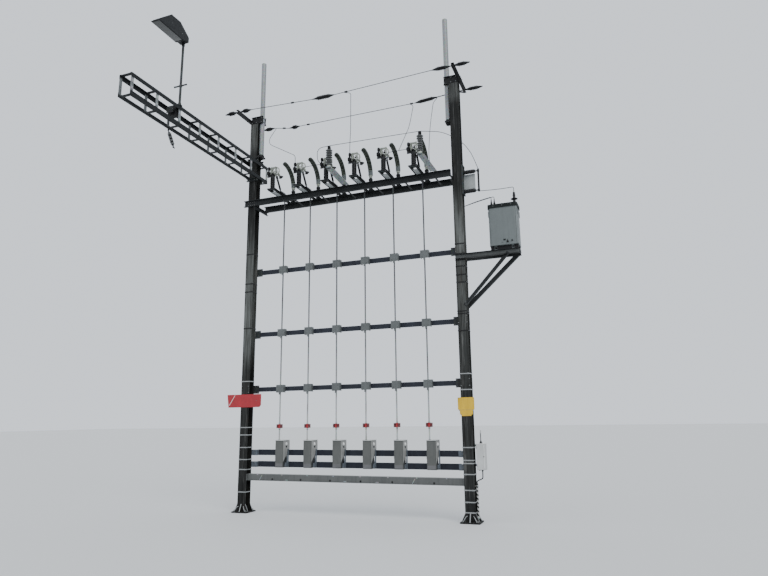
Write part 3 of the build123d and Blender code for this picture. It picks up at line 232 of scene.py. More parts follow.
def mast_coat_and_shade(name, *stops):
    """Old mast paint: its tone changes with height, partly the paint's own tone and partly painted shade, as round the
    platform and the boom, with long dark runs, pale scrapes and brown stains.
    """
    n = Nodes(name)
    col = n.ramp(n.height(0.0, MAST_COAT_TOP), [(z / MAST_COAT_TOP, (0.97 * v, 1.03 * v, v)) for z, v in mm(*stops)])
    patches = n.ramp(n.noise(2.6, 7, 0.68, (1, 1, 0.35), 0.4), [(0.34, (0.3, 0.29, 0.28)), (0.62, (0.72, 0.72, 0.7))])
    col = n.mix(col, patches, 0.6, "OVERLAY")
    runs = n.noise(30, 5, 0.62, (1, 1, 0.035))
    col = n.mix(col, (0.3, 0.29, 0.27), n.range(runs, 0, 0.9, 0.47, 0.62), "MULTIPLY")
    wide = n.noise(9, 4, 0.55, (1, 1, 0.03), 0.2)
    col = n.mix(col, (0.35, 0.33, 0.31), n.range(wide, 0, 0.7, 0.48, 0.62), "MULTIPLY")
    pale = n.noise(24, 5, 0.6, (1, 1, 0.05), 0.2)
    col = n.mix(col, n.mix(col, (0.45, 0.45, 0.43), 0.3), n.range(pale, 0, 0.6, 0.56, 0.7))
    stains = n.noise(8, 7, 0.7, (1, 1, 0.22), 0.4)
    col = n.mix(col, (0.03, 0.018, 0.01), n.range(stains, 0, 0.45, 0.57, 0.7))
    col = n.mix(col, (0.12, 0.125, 0.115), n.range(n.noise(90, 3, 0.6), 0, 0.18, 0.6, 0.75))
    return n.finish(col, n.range(n.noise(40, 5, 0.7), 0.55, 0.85), n.noise(120, 5, 0.65), 0.3, spec=0.2)


def rod_metal(name):
    """Galvanised rod, light near the motor boxes and darker higher up."""
    n = Nodes(name)
    col = n.ramp(n.height(0.0, 8.0), [(0.0, (0.46, 0.48, 0.47)), (0.24, (0.4, 0.42, 0.41)), (0.38, (0.2, 0.21, 0.21)),
                                      (0.6, (0.08, 0.085, 0.087)), (1.0, (0.045, 0.048, 0.05))])
    col = n.mix(col, (0.3, 0.3, 0.29), n.range(n.noise(30, 5, 0.6, (1, 1, 0.1)), 0, 0.7, 0.48, 0.66), "MULTIPLY")
    col = n.mix(col, n.mix(col, n.cells(90), 1.0, "SOFT_LIGHT"), 0.35)
    return n.finish(col, n.range(n.noise(60, 4), 0.35, 0.6), n.noise(160, 4), 0.2, 0.001, metal=0.3)


def batten_sheen_and_shade(name):
    """Boom rungs: pale uprights, their galvanised tone with a painted sky reflection, and dark upper and lower bars,
    which are painted shade as seen from below.
    """
    n = Nodes(name)
    # pale upright tone: galvanised steel with a painted sky reflection
    pale = n.ramp(n.noise(9, 6, 0.65, (1, 1, 0.6), 0.3), [(0.3, (0.11, 0.12, 0.122)), (0.7, (0.2, 0.215, 0.218))])
    # darker at the top and bottom of the boom: painted shade on the bars seen from below
    ends = n.ramp(n.height(7.6, 8.04), [(0.1, 1.0), (0.16, 0.0), (0.84, 0.0), (0.9, 1.0)])
    col = n.mix(pale, (0.014, 0.016, 0.017), ends)
    col = n.mix(col, (0.35, 0.35, 0.34), n.range(n.noise(26, 5, 0.6, (1, 1, 0.1)), 0, 0.7, 0.48, 0.66), "MULTIPLY")
    return n.finish(col, n.range(n.noise(40, 5, 0.7), 0.45, 0.7), n.noise(120, 5, 0.65), 0.25, spec=0.3)


def lens_glass(name):
    """Lamp bowl: smoked, with fine cross ribs."""
    n = Nodes(name)
    wave = n.add("TexWave", Scale=40, Vector=n.coord)
    wave.bands_direction = "Y"
    ribs = wave.outputs["Fac"]
    n.shader.inputs["Coat Weight"].default_value = 0.4
    return n.finish(n.ramp(ribs, [(0.2, (0.012, 0.013, 0.013)), (0.8, (0.05, 0.053, 0.053))]), 0.2, ribs, 0.3, 0.002)


# Tones of the base, the dirt and the light patches in thousandths, and what differs from the usual coat
COATS = {
    "galvanised": ((200, 215, 220, 90, 100, 105, 360, 380, 380), dict(metal=0.35, rough=(0.42, 0.65), spangle=0.35)),
    "galvanised_light": ((300, 320, 320, 150, 160, 160, 460, 480, 480),
                         dict(metal=0.3, rough=(0.4, 0.62), spangle=0.4, streak=0.4)),
    "dark_galvanised": ((38, 42, 42, 16, 18, 18, 110, 118, 118),
                        dict(metal=0.2, rough=(0.45, 0.7), spangle=0.25, spec=0.2)),
    "chord_steel": ((10, 12, 13, 5, 6, 7, 55, 60, 60), dict(rough=(0.5, 0.75), streak=0.45, dust=0.4, spec=0.2)),
    "tube_metal": ((220, 235, 240, 120, 130, 130, 380, 400, 400),
                   dict(metal=0.3, rough=(0.4, 0.6), spangle=0.3, streak=0.55, patch=1.6)),
    "dark_steel": ((18, 20, 21, 8, 9, 10, 75, 80, 82), dict(rough=(0.5, 0.8), dust=0.45, spec=0.2)),
    "rail_steel": ((20, 23, 32, 9, 10, 14, 80, 90, 110), dict(rough=(0.48, 0.75), streak=0.45, dust=0.5, spec=0.2)),
    "head_dark": ((10, 10, 11, 5, 5, 6, 60, 62, 60),
                  dict(metal=0.1, rough=(0.4, 0.65), grain=70, streak=0.3, patch=9, dust=0.2, spec=0.2)),
    "horn": ((20, 25, 19, 7, 9, 7, 125, 140, 115), dict(patch=16, grain=16, spec=0.25)),
    # painted highlight for the edges of the horns
    "horn_edge_highlight": ((90, 110, 75, 40, 50, 35, 220, 250, 180), dict(grain=60, patch=10, streak=0.35)),
    "horn_band": ((130, 148, 120, 60, 68, 55, 280, 300, 250),
                  dict(metal=0.2, rough=(0.4, 0.65), grain=70, patch=14, streak=0.3)),
    "horn_foot": ((88, 102, 102, 42, 48, 48, 200, 225, 225),
                  dict(metal=0.25, rough=(0.38, 0.6), grain=60, patch=10, streak=0.35)),
    "cast_metal": ((270, 290, 250, 100, 110, 95, 500, 520, 470),
                   dict(metal=0.4, rough=(0.35, 0.6), grain=60, streak=0.45, patch=9, bump=0.4)),
    "cast_bright": ((400, 420, 370, 70, 75, 65, 660, 680, 620),
                    dict(metal=0.3, rough=(0.35, 0.6), grain=45, streak=0.75, patch=14, bump=0.5)),
    "bolt": ((130, 135, 135, 50, 52, 52, 340, 350, 340),
             dict(metal=0.55, rough=(0.32, 0.55), grain=150, patch=25, streak=0.4, rust=0.3)),
    "edge_pale": ((300, 310, 310, 140, 150, 150, 500, 510, 500),
                  dict(metal=0.45, rough=(0.35, 0.55), grain=90, patch=16, streak=0.35)),
    "edge_dark": ((110, 120, 120, 50, 55, 55, 260, 270, 270), dict(metal=0.3)),
    "box_grey": ((80, 83, 78, 48, 50, 49, 160, 163, 157), dict(streak=0.35, grain=45, patch=5, rough=(0.5, 0.75))),
    # painted light: the lit upper cheek of the motor box
    "box_cheek_lit": ((240, 242, 232, 130, 130, 126, 380, 385, 370),
                  dict(streak=0.4, grain=45, patch=6, rough=(0.5, 0.75))),
    "box_lip": ((108, 108, 112, 60, 60, 63, 200, 200, 205), dict(streak=0.3, grain=45, patch=7)),
    # painted shade for the recess under the box's S-curved back
    "box_recess_shade": ((26, 28, 29, 13, 14, 15, 80, 83, 83), dict(spec=0.2)),
    "web_grey": ((58, 63, 62, 26, 28, 28, 130, 140, 138), dict()),
    "panel_pale": ((330, 350, 350, 200, 210, 210, 460, 480, 480), dict(streak=0.3)),
    "box_light": ((420, 430, 420, 240, 250, 240, 600, 610, 600), dict(streak=0.35, patch=6)),
    "bracket_pale": ((115, 135, 160, 60, 70, 85, 240, 270, 300), dict(metal=0.3, streak=0.35, patch=8)),
    "duct_grey": ((82, 86, 84, 40, 42, 41, 180, 185, 180), dict(streak=0.45)),
    "duct_lid": ((150, 156, 154, 80, 83, 82, 280, 290, 285), dict(streak=0.35)),
    "tank_grey": ((108, 124, 124, 70, 80, 80, 180, 200, 200), dict(streak=0.35, patch=1.4, rough=(0.4, 0.6))),
    # painted highlight on the tank's right front corner
    "tank_edge": ((165, 186, 188, 110, 124, 126, 260, 290, 290), dict(streak=0.3)),
    "cover_grey": ((9, 12, 12, 5, 6, 6, 50, 56, 56), dict(spec=0.15)),
    "box_white": ((470, 480, 475, 260, 270, 265, 660, 670, 665), dict(streak=0.35, patch=4)),
    "box_rim": ((660, 670, 660, 420, 430, 420, 800, 810, 800), dict(streak=0.25, patch=8)),
    "conductor": ((22, 23, 24, 10, 10, 11, 80, 84, 86), dict(metal=0.2, grain=120, dust=0.1, spec=0.2)),
    "hose_pale": ((480, 480, 460, 260, 260, 250, 640, 640, 620), dict(grain=80, patch=12, streak=0.3)),
    "sign_red": ((330, 10, 18, 180, 8, 12, 420, 70, 80), dict(streak=0.2, patch=6, dust=0.15, rough=(0.3, 0.5))),
    "sign_yellow": ((600, 380, 12, 320, 190, 10, 700, 520, 100),
                    dict(streak=0.25, patch=7, dust=0.15, rough=(0.3, 0.5))),
    "sign_white": ((620, 600, 580, 400, 360, 350, 780, 770, 760), dict(streak=0.2, patch=9, dust=0.1)),
    "sign_paint": ((400, 45, 40, 200, 30, 30, 550, 200, 170), dict(streak=0.25)),
    "signal_red": ((300, 10, 16, 120, 8, 10, 420, 90, 90),
                   dict(grain=80, patch=14, streak=0.3, dust=0.2, rough=(0.35, 0.55))),
    "signal_dark": ((110, 8, 10, 45, 6, 7, 220, 50, 50),
                    dict(grain=80, patch=14, streak=0.3, dust=0.15, rough=(0.4, 0.6))),
    "lamp_black": ((12, 13, 14, 6, 6, 7, 55, 56, 56), dict(streak=0.4, patch=5, rough=(0.4, 0.65), spec=0.2)),
}

MAT = {name: weathered(name, tones, **options) for name, (tones, options) in COATS.items()}
MAT |= {
    # heights in millimetres, each with its tone in thousandths: the paint's own tone with painted shade in it, as round
    # the platform and the boom
    "mast_left": mast_coat_and_shade("mast_left", 300, 12, 900, 20, 3000, 21, 3400, 70, 4300, 98, 5000, 78, 5600, 78, 6100, 34,
                           6600, 11, 7400, 11, 7800, 26, 8250, 18, 8450, 70, 9100, 70),
    "mast_right": mast_coat_and_shade("mast_right", 300, 12, 900, 24, 3000, 26, 3600, 32, 4300, 54, 4900, 74, 5500, 112, 6050, 88,
                            6400, 40, 6700, 13, 7400, 11, 8550, 14, 8750, 60, 9100, 60),
    "insulator": glaze("insulator", (0.006, 0.006, 0.007), (0.016, 0.017, 0.018)),
    "arrester": glaze("arrester", (0.115, 0.12, 0.118), (0.26, 0.27, 0.27), (0.35, 0.6)),
    "rubber": glaze("rubber", (0.012, 0.012, 0.012), (0.045, 0.045, 0.045), (0.45, 0.7)),
    "batten_steel": batten_sheen_and_shade("batten_steel"), "rod_metal": rod_metal("rod_metal"), "lens": lens_glass("lens"),
}
# Nodes whose look differs from their slot's usual material
NODE_MATERIAL = {
    "boom_chords": "chord_steel", "boom_frames": "batten_steel", "boom_seats": "dark_galvanised",
    "lamp_pole": "dark_galvanised", "lamp_gear_box": "head_dark", "cable_duct": "duct_grey",
    "cross_arms": "head_dark", "left_mast": "mast_left", "right_mast": "mast_right", "extension_tubes": "tube_metal",
    "mast_bands": "edge_pale", "guide_rails": "rail_steel", "motor_rails": "rail_steel",
    "motor_rail_brackets": "bracket_pale", "rail_plates": "dark_galvanised", "rod_guides": "edge_dark",
    "transformer_bracket": "dark_steel",
}


def dress_nodes():
    slots = {s["node"]: s["material_slot"] for s in frame["record"]["subparts"]}
    for name, node in NODES.items():
        mat = "rod_metal" if name.startswith("drive_rod") else NODE_MATERIAL.get(name, slots[name])
        node.data.materials.clear()
        node.data.materials.append(MAT[mat])


def beside(x, *values):
    """Outline in x and z, given in millimetres from x and from the ground."""
    return [(x + u, z) for u, z in mm(*values)]


def rect(u0, u1, v0, v1):
    return [(u0, v0), (u1, v0), (u1, v1), (u0, v1)]


def across(direction):
    """Two unit vectors at right angles to a direction."""
    d = Vector(direction).normalized()
    u = d.orthogonal().normalized() if abs(d.z) < 0.99 else Vector(EAST)
    return u, d.cross(u)


def arc(axis, centre, radius, start=0, sweep=360, count=20):
    """Points about an axis: an arc with both ends, or a whole circle."""
    i, j, _ = AXES[axis]
    points = []
    for k in range(count + (sweep < 360)):
        a = math.radians(start + sweep * k / count)
        p = Vector(centre)
        p[i] += radius * math.cos(a)
        p[j] += radius * math.sin(a)
        points.append(p)
    return points


def smooth_row(points, steps=10):
    """Smooth row of points through the given ones."""
    p = [Vector(q) for q in points]
    p = [p[0]] + p + [p[-1]]
    out = []
    for a, b, c, d in zip(p, p[1:], p[2:], p[3:]):
        for t in (k / steps for k in range(steps)):
            out.append(0.5 * (2 * b + (c - a) * t + (2 * a - 5 * b + 4 * c - d) * t * t
                              + (3 * b - a - 3 * c + d) * t ** 3))
    return out + [p[-1]]


def inset(outline, amount):
    """Outline moved inward by an amount, corner by corner."""
    area = sum(a[0] * b[1] - b[0] * a[1] for a, b in zip(outline, outline[1:] + outline[:1]))
    turn = 1 if area > 0 else -1
    out = []
    for i, p in enumerate(outline):
        edges = []
        for a, b in ((outline[i - 1], p), (p, outline[(i + 1) % len(outline)])):
            e = Vector((b[0] - a[0], b[1] - a[1])).normalized()
            edges.append(Vector((-e.y, e.x)) * turn)
        n = (edges[0] + edges[1]) / (1 + edges[0].dot(edges[1]))
        out.append((p[0] + n.x * amount, p[1] + n.y * amount))
    return out


def cut_corners(outline, amount):
    """Outline with every corner cut back along both of its edges."""
    out = []
    for i, p in enumerate(outline):
        for q in (outline[i - 1], outline[(i + 1) % len(outline)]):
            e = Vector((q[0] - p[0], q[1] - p[1]))
            e = e.normalized() * min(amount, 0.45 * e.length)
            out.append((p[0] + e.x, p[1] + e.y))
    return out


def round_corners(outline, radius, steps=4):
    """Outline whose corners are arcs of one radius."""
    out = []
    for i, p in enumerate(Vector(p) for p in outline):
        a = Vector(outline[i - 1]) - p
        b = Vector(outline[(i + 1) % len(outline)]) - p
        back = min(radius / math.tan(a.angle(b) / 2), 0.48 * min(a.length, b.length))
        s, e = p + a.normalized() * back, p + b.normalized() * back
        for t in (k / steps for k in range(steps + 1)):
            out.append(tuple(s * (1 - t) ** 2 + p * 2 * t * (1 - t) + e * t ** 2))
    return out


def sheds(low, high, count, core, rim, small):
    """Outline of a ribbed insulator from its foot to its top, its ribs wide and narrow by turns."""
    pitch = (high - low) / count
    out = [(low, core)]
    for i in range(count):
        edge = small if i % 2 else rim
        out += [(low + pitch * (i + 0.5 + at), r) for at, r in (
            (-0.24, core), (-0.2, core * 0.4 + edge * 0.6), (-0.17, edge * 0.97), (-0.1, edge), (-0.05, edge * 0.97),
            (0.22, core * 1.08), (0.3, core))]
    return out + [(high, core)]


class Shape:
    """Collects faces in several materials and becomes one piece."""

    def __init__(self):
        self.bm = bmesh.new()
        self.mats = []

    def loft(self, rings, mat, closed=False):
        if mat not in self.mats:
            self.mats.append(mat)
        k = self.mats.index(mat)
        rows = [[self.bm.verts.new(p) for p in ring] for ring in rings]
        n = len(rings[0])
        faces = []
        for a, b in list(zip(rows, rows[1:])) + ([(rows[-1], rows[0])] if closed else []):
            faces += [self.bm.faces.new((a[i], a[(i + 1) % n], b[(i + 1) % n], b[i])) for i in range(n)]
        if not closed:
            faces += [self.bm.faces.new(rows[0][::-1]), self.bm.faces.new(rows[-1])]
        for f in faces:
            f.material_index = k

    def turned(self, start, direction, outline, mat, steps=24):
        """Turned body from (distance, radius) pairs."""
        s, d = Vector(start), Vector(direction).normalized()
        u, v = across(d)
        ring = [u * math.cos(2 * math.pi * i / steps) + v * math.sin(2 * math.pi * i / steps) for i in range(steps)]
        self.loft([[s + d * t + r * max(q, 1e-5) for r in ring] for t, q in outline], mat)

    def rod(self, a, b, radius, mat, steps=16, chamfer=0.0015):
        a, b = Vector(a), Vector(b)
        n = (b - a).length
        c = min(chamfer, radius * 0.4, n * 0.4)
        self.turned(a, b - a, [(0, radius - c), (c, radius), (n - c, radius), (n, radius - c)], mat, steps)

    def prism(self, axis, outline, low, high, mat, chamfer=0.0015):
        """Bar along an axis with its edges cut back a little."""
        i, j, k = AXES[axis]
        low, high = sorted((low, high))
        c = min(chamfer, (high - low) * 0.3)
        full = cut_corners(outline, c)
        small = inset(full, c * 0.7)
        rings = []
        for at, points in ((low, small), (low + c, full), (high - c, full), (high, small)):
            rings.append([])
            for p in points:
                q = [0, 0, 0]
                q[i], q[j], q[k] = p[0], p[1], at
                rings[-1].append(q)
        self.loft(rings, mat)

    def box(self, a, b, mat, chamfer=0.0015):
        x, y, z = (sorted(ends) for ends in zip(a, b))
        self.prism("z", rect(*x, *y), *z, mat, chamfer)

    def tube(self, points, radius, mat, steps=12, closed=False):
        """Round bar along a smooth row of points."""
        points = [Vector(p) for p in points]
        n = len(points)
        u = None
        rings = []
        for i, p in enumerate(points):
            a = points[i - 1] if i or closed else p
            b = points[(i + 1) % n] if i < n - 1 or closed else p
            d = (b - a).normalized()
            u = across(d)[0] if u is None else (u - d * u.dot(d)).normalized()
            v = d.cross(u)
            rings.append([p + (u * math.cos(2 * math.pi * k / steps) + v * math.sin(2 * math.pi * k / steps)) * radius
                          for k in range(steps)])
        self.loft(rings, mat, closed)

    def bolt(self, at, direction, size, nut=False):
        """Washer and hexagon head, or a nut with the thread end standing out."""
        rows = [(18, (0, 1, 0.16, 1, 0.2, 0.92)), (6, (0.2, 0.86, 0.7, 0.86, 0.82, 0.7))]
        if nut:
            rows.append((12, (0.2, 0.45, 1.4, 0.45, 1.5, 0.35)))
        for steps, row in rows:
            self.turned(at, direction, [(size * t, size * r) for t, r in zip(row[::2], row[1::2])], "bolt", steps)

    def bolts(self, points, direction, size, nut=False):
        for p in points:
            self.bolt(p, direction, size, nut)

    def piece(self, name, body="frame", replaces=()):
        bmesh.ops.recalc_face_normals(self.bm, faces=self.bm.faces[:])
        mesh = bpy.data.meshes.new(name)
        self.bm.to_mesh(mesh)
        self.bm.free()
        for mat in self.mats:
            mesh.materials.append(MAT[mat])
        mesh.polygons.foreach_set("use_smooth", [True] * len(mesh.polygons))
        mesh.set_sharp_from_angle(angle=math.radians(34))
        obj = link(name, mesh)
        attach(obj, body)
        if replaces:
            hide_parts(*replaces)


# Switch posts, horns and heads

def make_posts():
    s = Shape()
    for x, y in product(UNIT_XS, (-POST_Y, POST_Y)):
        at = (x, y, BASE_TOP)
        rim = 0.0565 if y < 0 else 0.0495
        s.turned(at, UP, mm(0, 46, 8, 46, 10, 47, 30, 46, 32, 42), "dark_steel")
        s.turned(at, UP, sheds(0.026, 0.26, 10, rim - 0.0095, rim, rim - 0.002), "insulator", 28)
        s.turned(at, UP, mm(254, 42, 256, 50, 278, 50, 282, 46), "dark_steel")
        s.bolts(arc("z", (x, y, BASE_TOP + 0.008), 0.039, 45, count=4), UP, 0.0055)
    s.piece("post_sheds", replaces=["post_insulators"])


def horn_point(x, turn, out=0.0):
    a = math.radians(turn)
    return Vector((x, HORN_Y + (HORN_R + out) * math.cos(a), HORN_Z + (HORN_R + out) * math.sin(a)))


def make_horns():
    s = Shape()
    for x in UNIT_XS:
        foot = (x, POST_Y, POST_TOP)
        s.turned(foot, UP, mm(0, 44, 7, 44, 9, 34, 22, 33), "dark_steel")
        s.turned(foot, UP, mm(20, 30, 45, 30, 47, 41, 90, 43, 94, 40), "cast_metal")
        s.bolts(arc("z", (x, POST_Y, POST_TOP + 0.007), 0.037, 45, count=4), UP, 0.006)
        rings = []
        for k in range(61):
            c = horn_point(x, 92.0 * k / 60)
            u = (c - Vector((x, HORN_Y, HORN_Z))).normalized()
            w = 0.05 * (1, 0.9, 0.7, 0.3)[max(0, k - 57)]
            rings.append([c + u * (w * math.cos(b)) + Vector(EAST) * (w * 1.08 * math.sin(b))
                          for b in (2 * math.pi * q / 20 for q in range(20))])
        s.loft(rings[:10], "horn_foot")
        s.loft(rings[9:], "horn")
        for turn, wide in ((13.5, 1.6), (20, 0.7), (32, 0.7), (44, 0.9), (57, 0.7), (68, 0.9), (78, 0.7)):
            c = horn_point(x, turn)
            ahead = horn_point(x, turn + wide) - c
            n = ahead.length
            s.turned(c, ahead, [(0, 0.05), (0.001, 0.0545), (n - 0.001, 0.0545), (n, 0.05)], "horn_band", 20)
        # thin pale rods along the horn's edges: a painted highlight
        for out, side in mm(48.5, 0, -48.5, 0, 0, -52.5, 0, 52.5):
            s.tube([horn_point(x + side, 13 + 76 * k / 40, out) for k in range(41)], 0.004, "horn_edge_highlight", 8)
    s.piece("banded_horns", replaces=["arc_horns"])


def make_heads():
    s = Shape()
    for n, x in enumerate(UNIT_XS):
        s.turned((x, -POST_Y, POST_TOP), UP, mm(0, 50, 6, 50, 8, 47), "dark_steel")
        s.bolts(arc("z", (x, -POST_Y, POST_TOP + 0.008), 0.041, 45, count=4), UP, 0.0055)
        if n in (1, 4):
            s.box((x, -0.5, POST_TOP), (x + 0.11, -0.46, POST_TOP + 0.008), "galvanised")
            s.bolt((x + 0.075, -POST_Y, POST_TOP + 0.008), UP, 0.01)
        block = mm(-522, 7375, -420, 7375, -420, 7460, -435, 7490, -465, 7490, -480, 7460)
        for left in (x - 0.044, x):
            s.prism("x", block, left, left + 0.014, "head_dark", 0.002)
        s.box((x - 0.032, -0.515, 7.375), (x + 0.002, -0.425, 7.4), "head_dark")
        s.turned((x - 0.0445, *PIVOT), EAST, mm(0, 18, 2, 20, 56, 20, 58.5, 18), "head_dark", 20)
        s.box((x - 0.044, -0.428, 7.468), (x - 0.022, -0.265, 7.51), "cast_metal", 0.004)
        eye = (x - 0.045, -0.28, 7.602)
        s.tube(arc("y", eye, 0.092, count=48), 0.015, "cast_bright", 14, True)
        jaw = beside(x, 52, 7402, 100, 7394, 153, 7436, 148, 7450, 98, 7470, 52, 7474)
        s.prism("y", round_corners(jaw, 0.008), -0.294, -0.266, "head_dark", 0.004)
        stem = beside(x, 14, 7466, 70, 7464, 64, 7520, 30, 7550, 12, 7525)
        s.prism("y", round_corners(stem, 0.008), -0.29, -0.27, "cast_metal", 0.004)
        s.bolts([(u, -0.292, z) for u, z in beside(x, 75, 7432, 118, 7436, 40, 7500)], FRONT, 0.009)
        bowl = beside(x, -150, 7500, -128, 7440, -80, 7398, 12, 7385, 12, 7470, -30, 7492, -85, 7505, -105, 7535,
                      -140, 7540)
        s.prism("y", round_corners(bowl, 0.014), -0.421, -0.398, "head_dark", 0.004)
        body = beside(x, -112, 7545, -92, 7510, -40, 7496, -40, 7560, -52, 7640, -78, 7664, -108, 7640)
        s.prism("y", round_corners(body, 0.012), -0.416, -0.392, "cast_bright", 0.005)
        s.bolts([(u, -0.416, z) for u, z in beside(x, -78, 7625, -70, 7545)], FRONT, 0.01)
        # curved fingers, hub and spokes inside the ring
        for start, r in ((150, 0.05), (20, 0.044), (265, 0.05)):
            s.tube([p - Vector((0, 0.004 * math.sin(k / 3), 0)) for k, p in enumerate(arc("y", eye, r, start, 90, 9))],
                   0.011, "cast_bright", 10)
        s.turned((x - 0.045, -0.262, 7.602), FRONT, mm(0, 20, 4, 25, 26, 25, 32, 16), "head_dark", 6)
        for near, far in zip(arc("y", eye, 0.02, 70, count=3), arc("y", eye, 0.085, 70, count=3)):
            s.rod(near, far, 0.008, "cast_metal")
        plate = beside(x, -44, 7380, -150, 7380, -150, 7490, -128, 7600, -95, 7600, -95, 7420, -44, 7420)
        s.prism("y", plate, -0.469, -0.461, "head_dark")
        s.turned((x - 0.112, -0.465, 7.56), UP, mm(0, 22, 6, 30, 24, 32, 30, 26, 36, 32, 56, 31, 72, 24, 80, 10),
                 "head_dark")
        s.turned((x - 0.134, -0.465, 7.455), UP, mm(0, 24, 6, 30, 30, 30, 34, 24, 40, 30, 66, 29, 75, 18), "head_dark")
        s.bolts([(x - 0.07, -0.469, 7.4), (x - 0.125, -0.469, 7.4)], FRONT, 0.009, True)
    s.piece("switch_heads", replaces=["contact_heads"])


def make_moving():
    """What rides on the contact arms and on the drive rods."""
    for n, (x, u) in enumerate(zip(ROD_XS, UNIT_XS), 1):
        s = Shape()
        for side in (-1, 1):
            s.bolt((u + side * 0.062, *PIVOT), (side, 0, 0), 0.016)
            s.bolt((u + side * 0.062, -0.45, 7.61), (side, 0, 0), 0.0085)
        for k in (-0.045, -0.015, 0.015, 0.045):
            s.turned((u + k, -0.4552, 7.61), FRONT, mm(0, 8, 4, 8, 6, 5), "bolt", 6)
        s.piece(f"arm_bolts_{n}", f"arm_{n}")
        s = Shape()
        s.turned((x, ROD_Y, 1.7495), UP, mm(0, 25.5, 3, 28, 24, 28, 26, 27.2, 64, 27.2, 66, 28, 87, 28, 90, 25.5),
                 "signal_red", 28)
        for side in (-1, 1):
            wing = rect(*sorted((x + side * 0.024, x + side * 0.066)), 1.7535, 1.8355)
            s.prism("y", round_corners(wing, 0.01), 0.014, 0.066, "signal_dark", 0.004)
            for z in (1.772, 1.817):
                s.bolt((x + side * 0.046, 0.014, z), FRONT, 0.0085)
                s.bolt((x + side * 0.046, 0.066, z), BACK, 0.0085)
        s.piece(f"coupler_sleeve_{n}", f"drive_{n}")
        s = Shape()
        for z in (1.717, 1.853):
            s.turned((x, ROD_Y, z), UP, mm(0, 15, 1, 20.5, 10, 20.5, 11, 15.5), "bolt", 6)
        for side in (-1, 1):
            s.bolt((x + side * 0.015, -0.15, 7.13), (side, 0, 0), 0.011)
        low, high = Vector((x, -0.1755, 7.1685)), Vector((x, -0.32, 7.385))
        collar = (high - low) * 0.08
        s.rod(low, high, 0.0225, "head_dark", 20)
        s.rod(low, low + collar, 0.0245, "bolt", 20)
        s.rod(high - collar, high, 0.0245, "bolt", 20)
        s.piece(f"rod_fittings_{n}", f"drive_{n}")


# Line insulators, arresters, fuse, bushings, boom insulator

STRAINS = [[Vector((x, y, z)) for x, z in ends] for y, ends in (
    (LINE_FRONT, ((-0.1, LINE_Z), (0.233, LINE_Z))), (LINE_FRONT, ((-0.108, LINE_Z), (-0.49, LINE_Z))),
    (LINE_FRONT, ((5.1, LINE_Z), (4.671, LINE_Z))), (LINE_FRONT, ((5.108, LINE_Z), (5.49, LINE_Z))),
    (LINE_REAR, ((-0.1, LINE_Z), (0.253, LINE_Z))), (LINE_REAR, ((0.661, LINE_LOW), (0.97, LINE_LOW))),
    (LINE_FRONT, ((1.84, LINE_LOW), (2.389, LINE_LOW))), (LINE_REAR, ((5.099, LINE_Z), (3.965, LINE_LOW))),
    (LINE_REAR, ((5.108, LINE_Z), (5.544, LINE_Z))))]


def make_strains():
    s = Shape()
    for start, end in STRAINS:
        run = end - start
        body = min(run.length - 0.09, 0.47)
        near = run.length - 0.03 - body
        far = near + body
        cap = min(0.085, body * 0.28)
        s.turned(start, run, [(0, 0.008), (0.004, 0.011), (near - 0.03, 0.011), (near - 0.02, 0.016), (near, 0.017),
                              (near + cap, 0.036), (near + cap + 0.004, 0.03)], "dark_steel", 16)
        ribs = max(5, round((body - 2 * cap) / 0.03))
        s.turned(start, run, sheds(near + cap, far - cap, ribs, 0.035, 0.05, 0.047), "insulator", 24)
        s.turned(start, run, [(far - cap - 0.004, 0.03), (far - cap, 0.036), (far, 0.016), (run.length - 0.006, 0.012),
                              (run.length, 0.01)], "dark_steel", 16)
        u = across(run)[0]
        for at in (0.018, run.length - 0.014):
            c = start + run.normalized() * at
            s.rod(c - u * 0.019, c + u * 0.019, 0.006, "bolt", 10)
            s.turned(c + u * 0.012, u, mm(0, 10, 6, 10), "bolt", 6)
    s.piece("line_insulators", replaces=["strain_insulators"])


def make_line_fittings():
    """Bolts and keepers on the clamps of the lines; the lines fall from the masts to their low part."""
    s = Shape()
    for x, y, high_x, run in ((1.296, LINE_FRONT, 0.2335, 1.606), (2.644, LINE_FRONT, 4.6705, -2.281),
                              (0.49, LINE_REAR, 0.2545, 0.405), (1.166, LINE_REAR, 0, 0), (3.842, LINE_REAR, 0, 0)):
        z = LINE_Z - (LINE_Z - LINE_LOW) * (x - high_x) / run if run else LINE_LOW
        for k in (0.018, 0.052):
            s.bolt((x + k, y, z + 0.016), UP, 0.009, True)
            s.tube(arc("x", (x + k, y, z - 0.002), 0.019, 180, 180, 12), 0.003, "bolt", 8)
    s.piece("line_clamp_bolts")


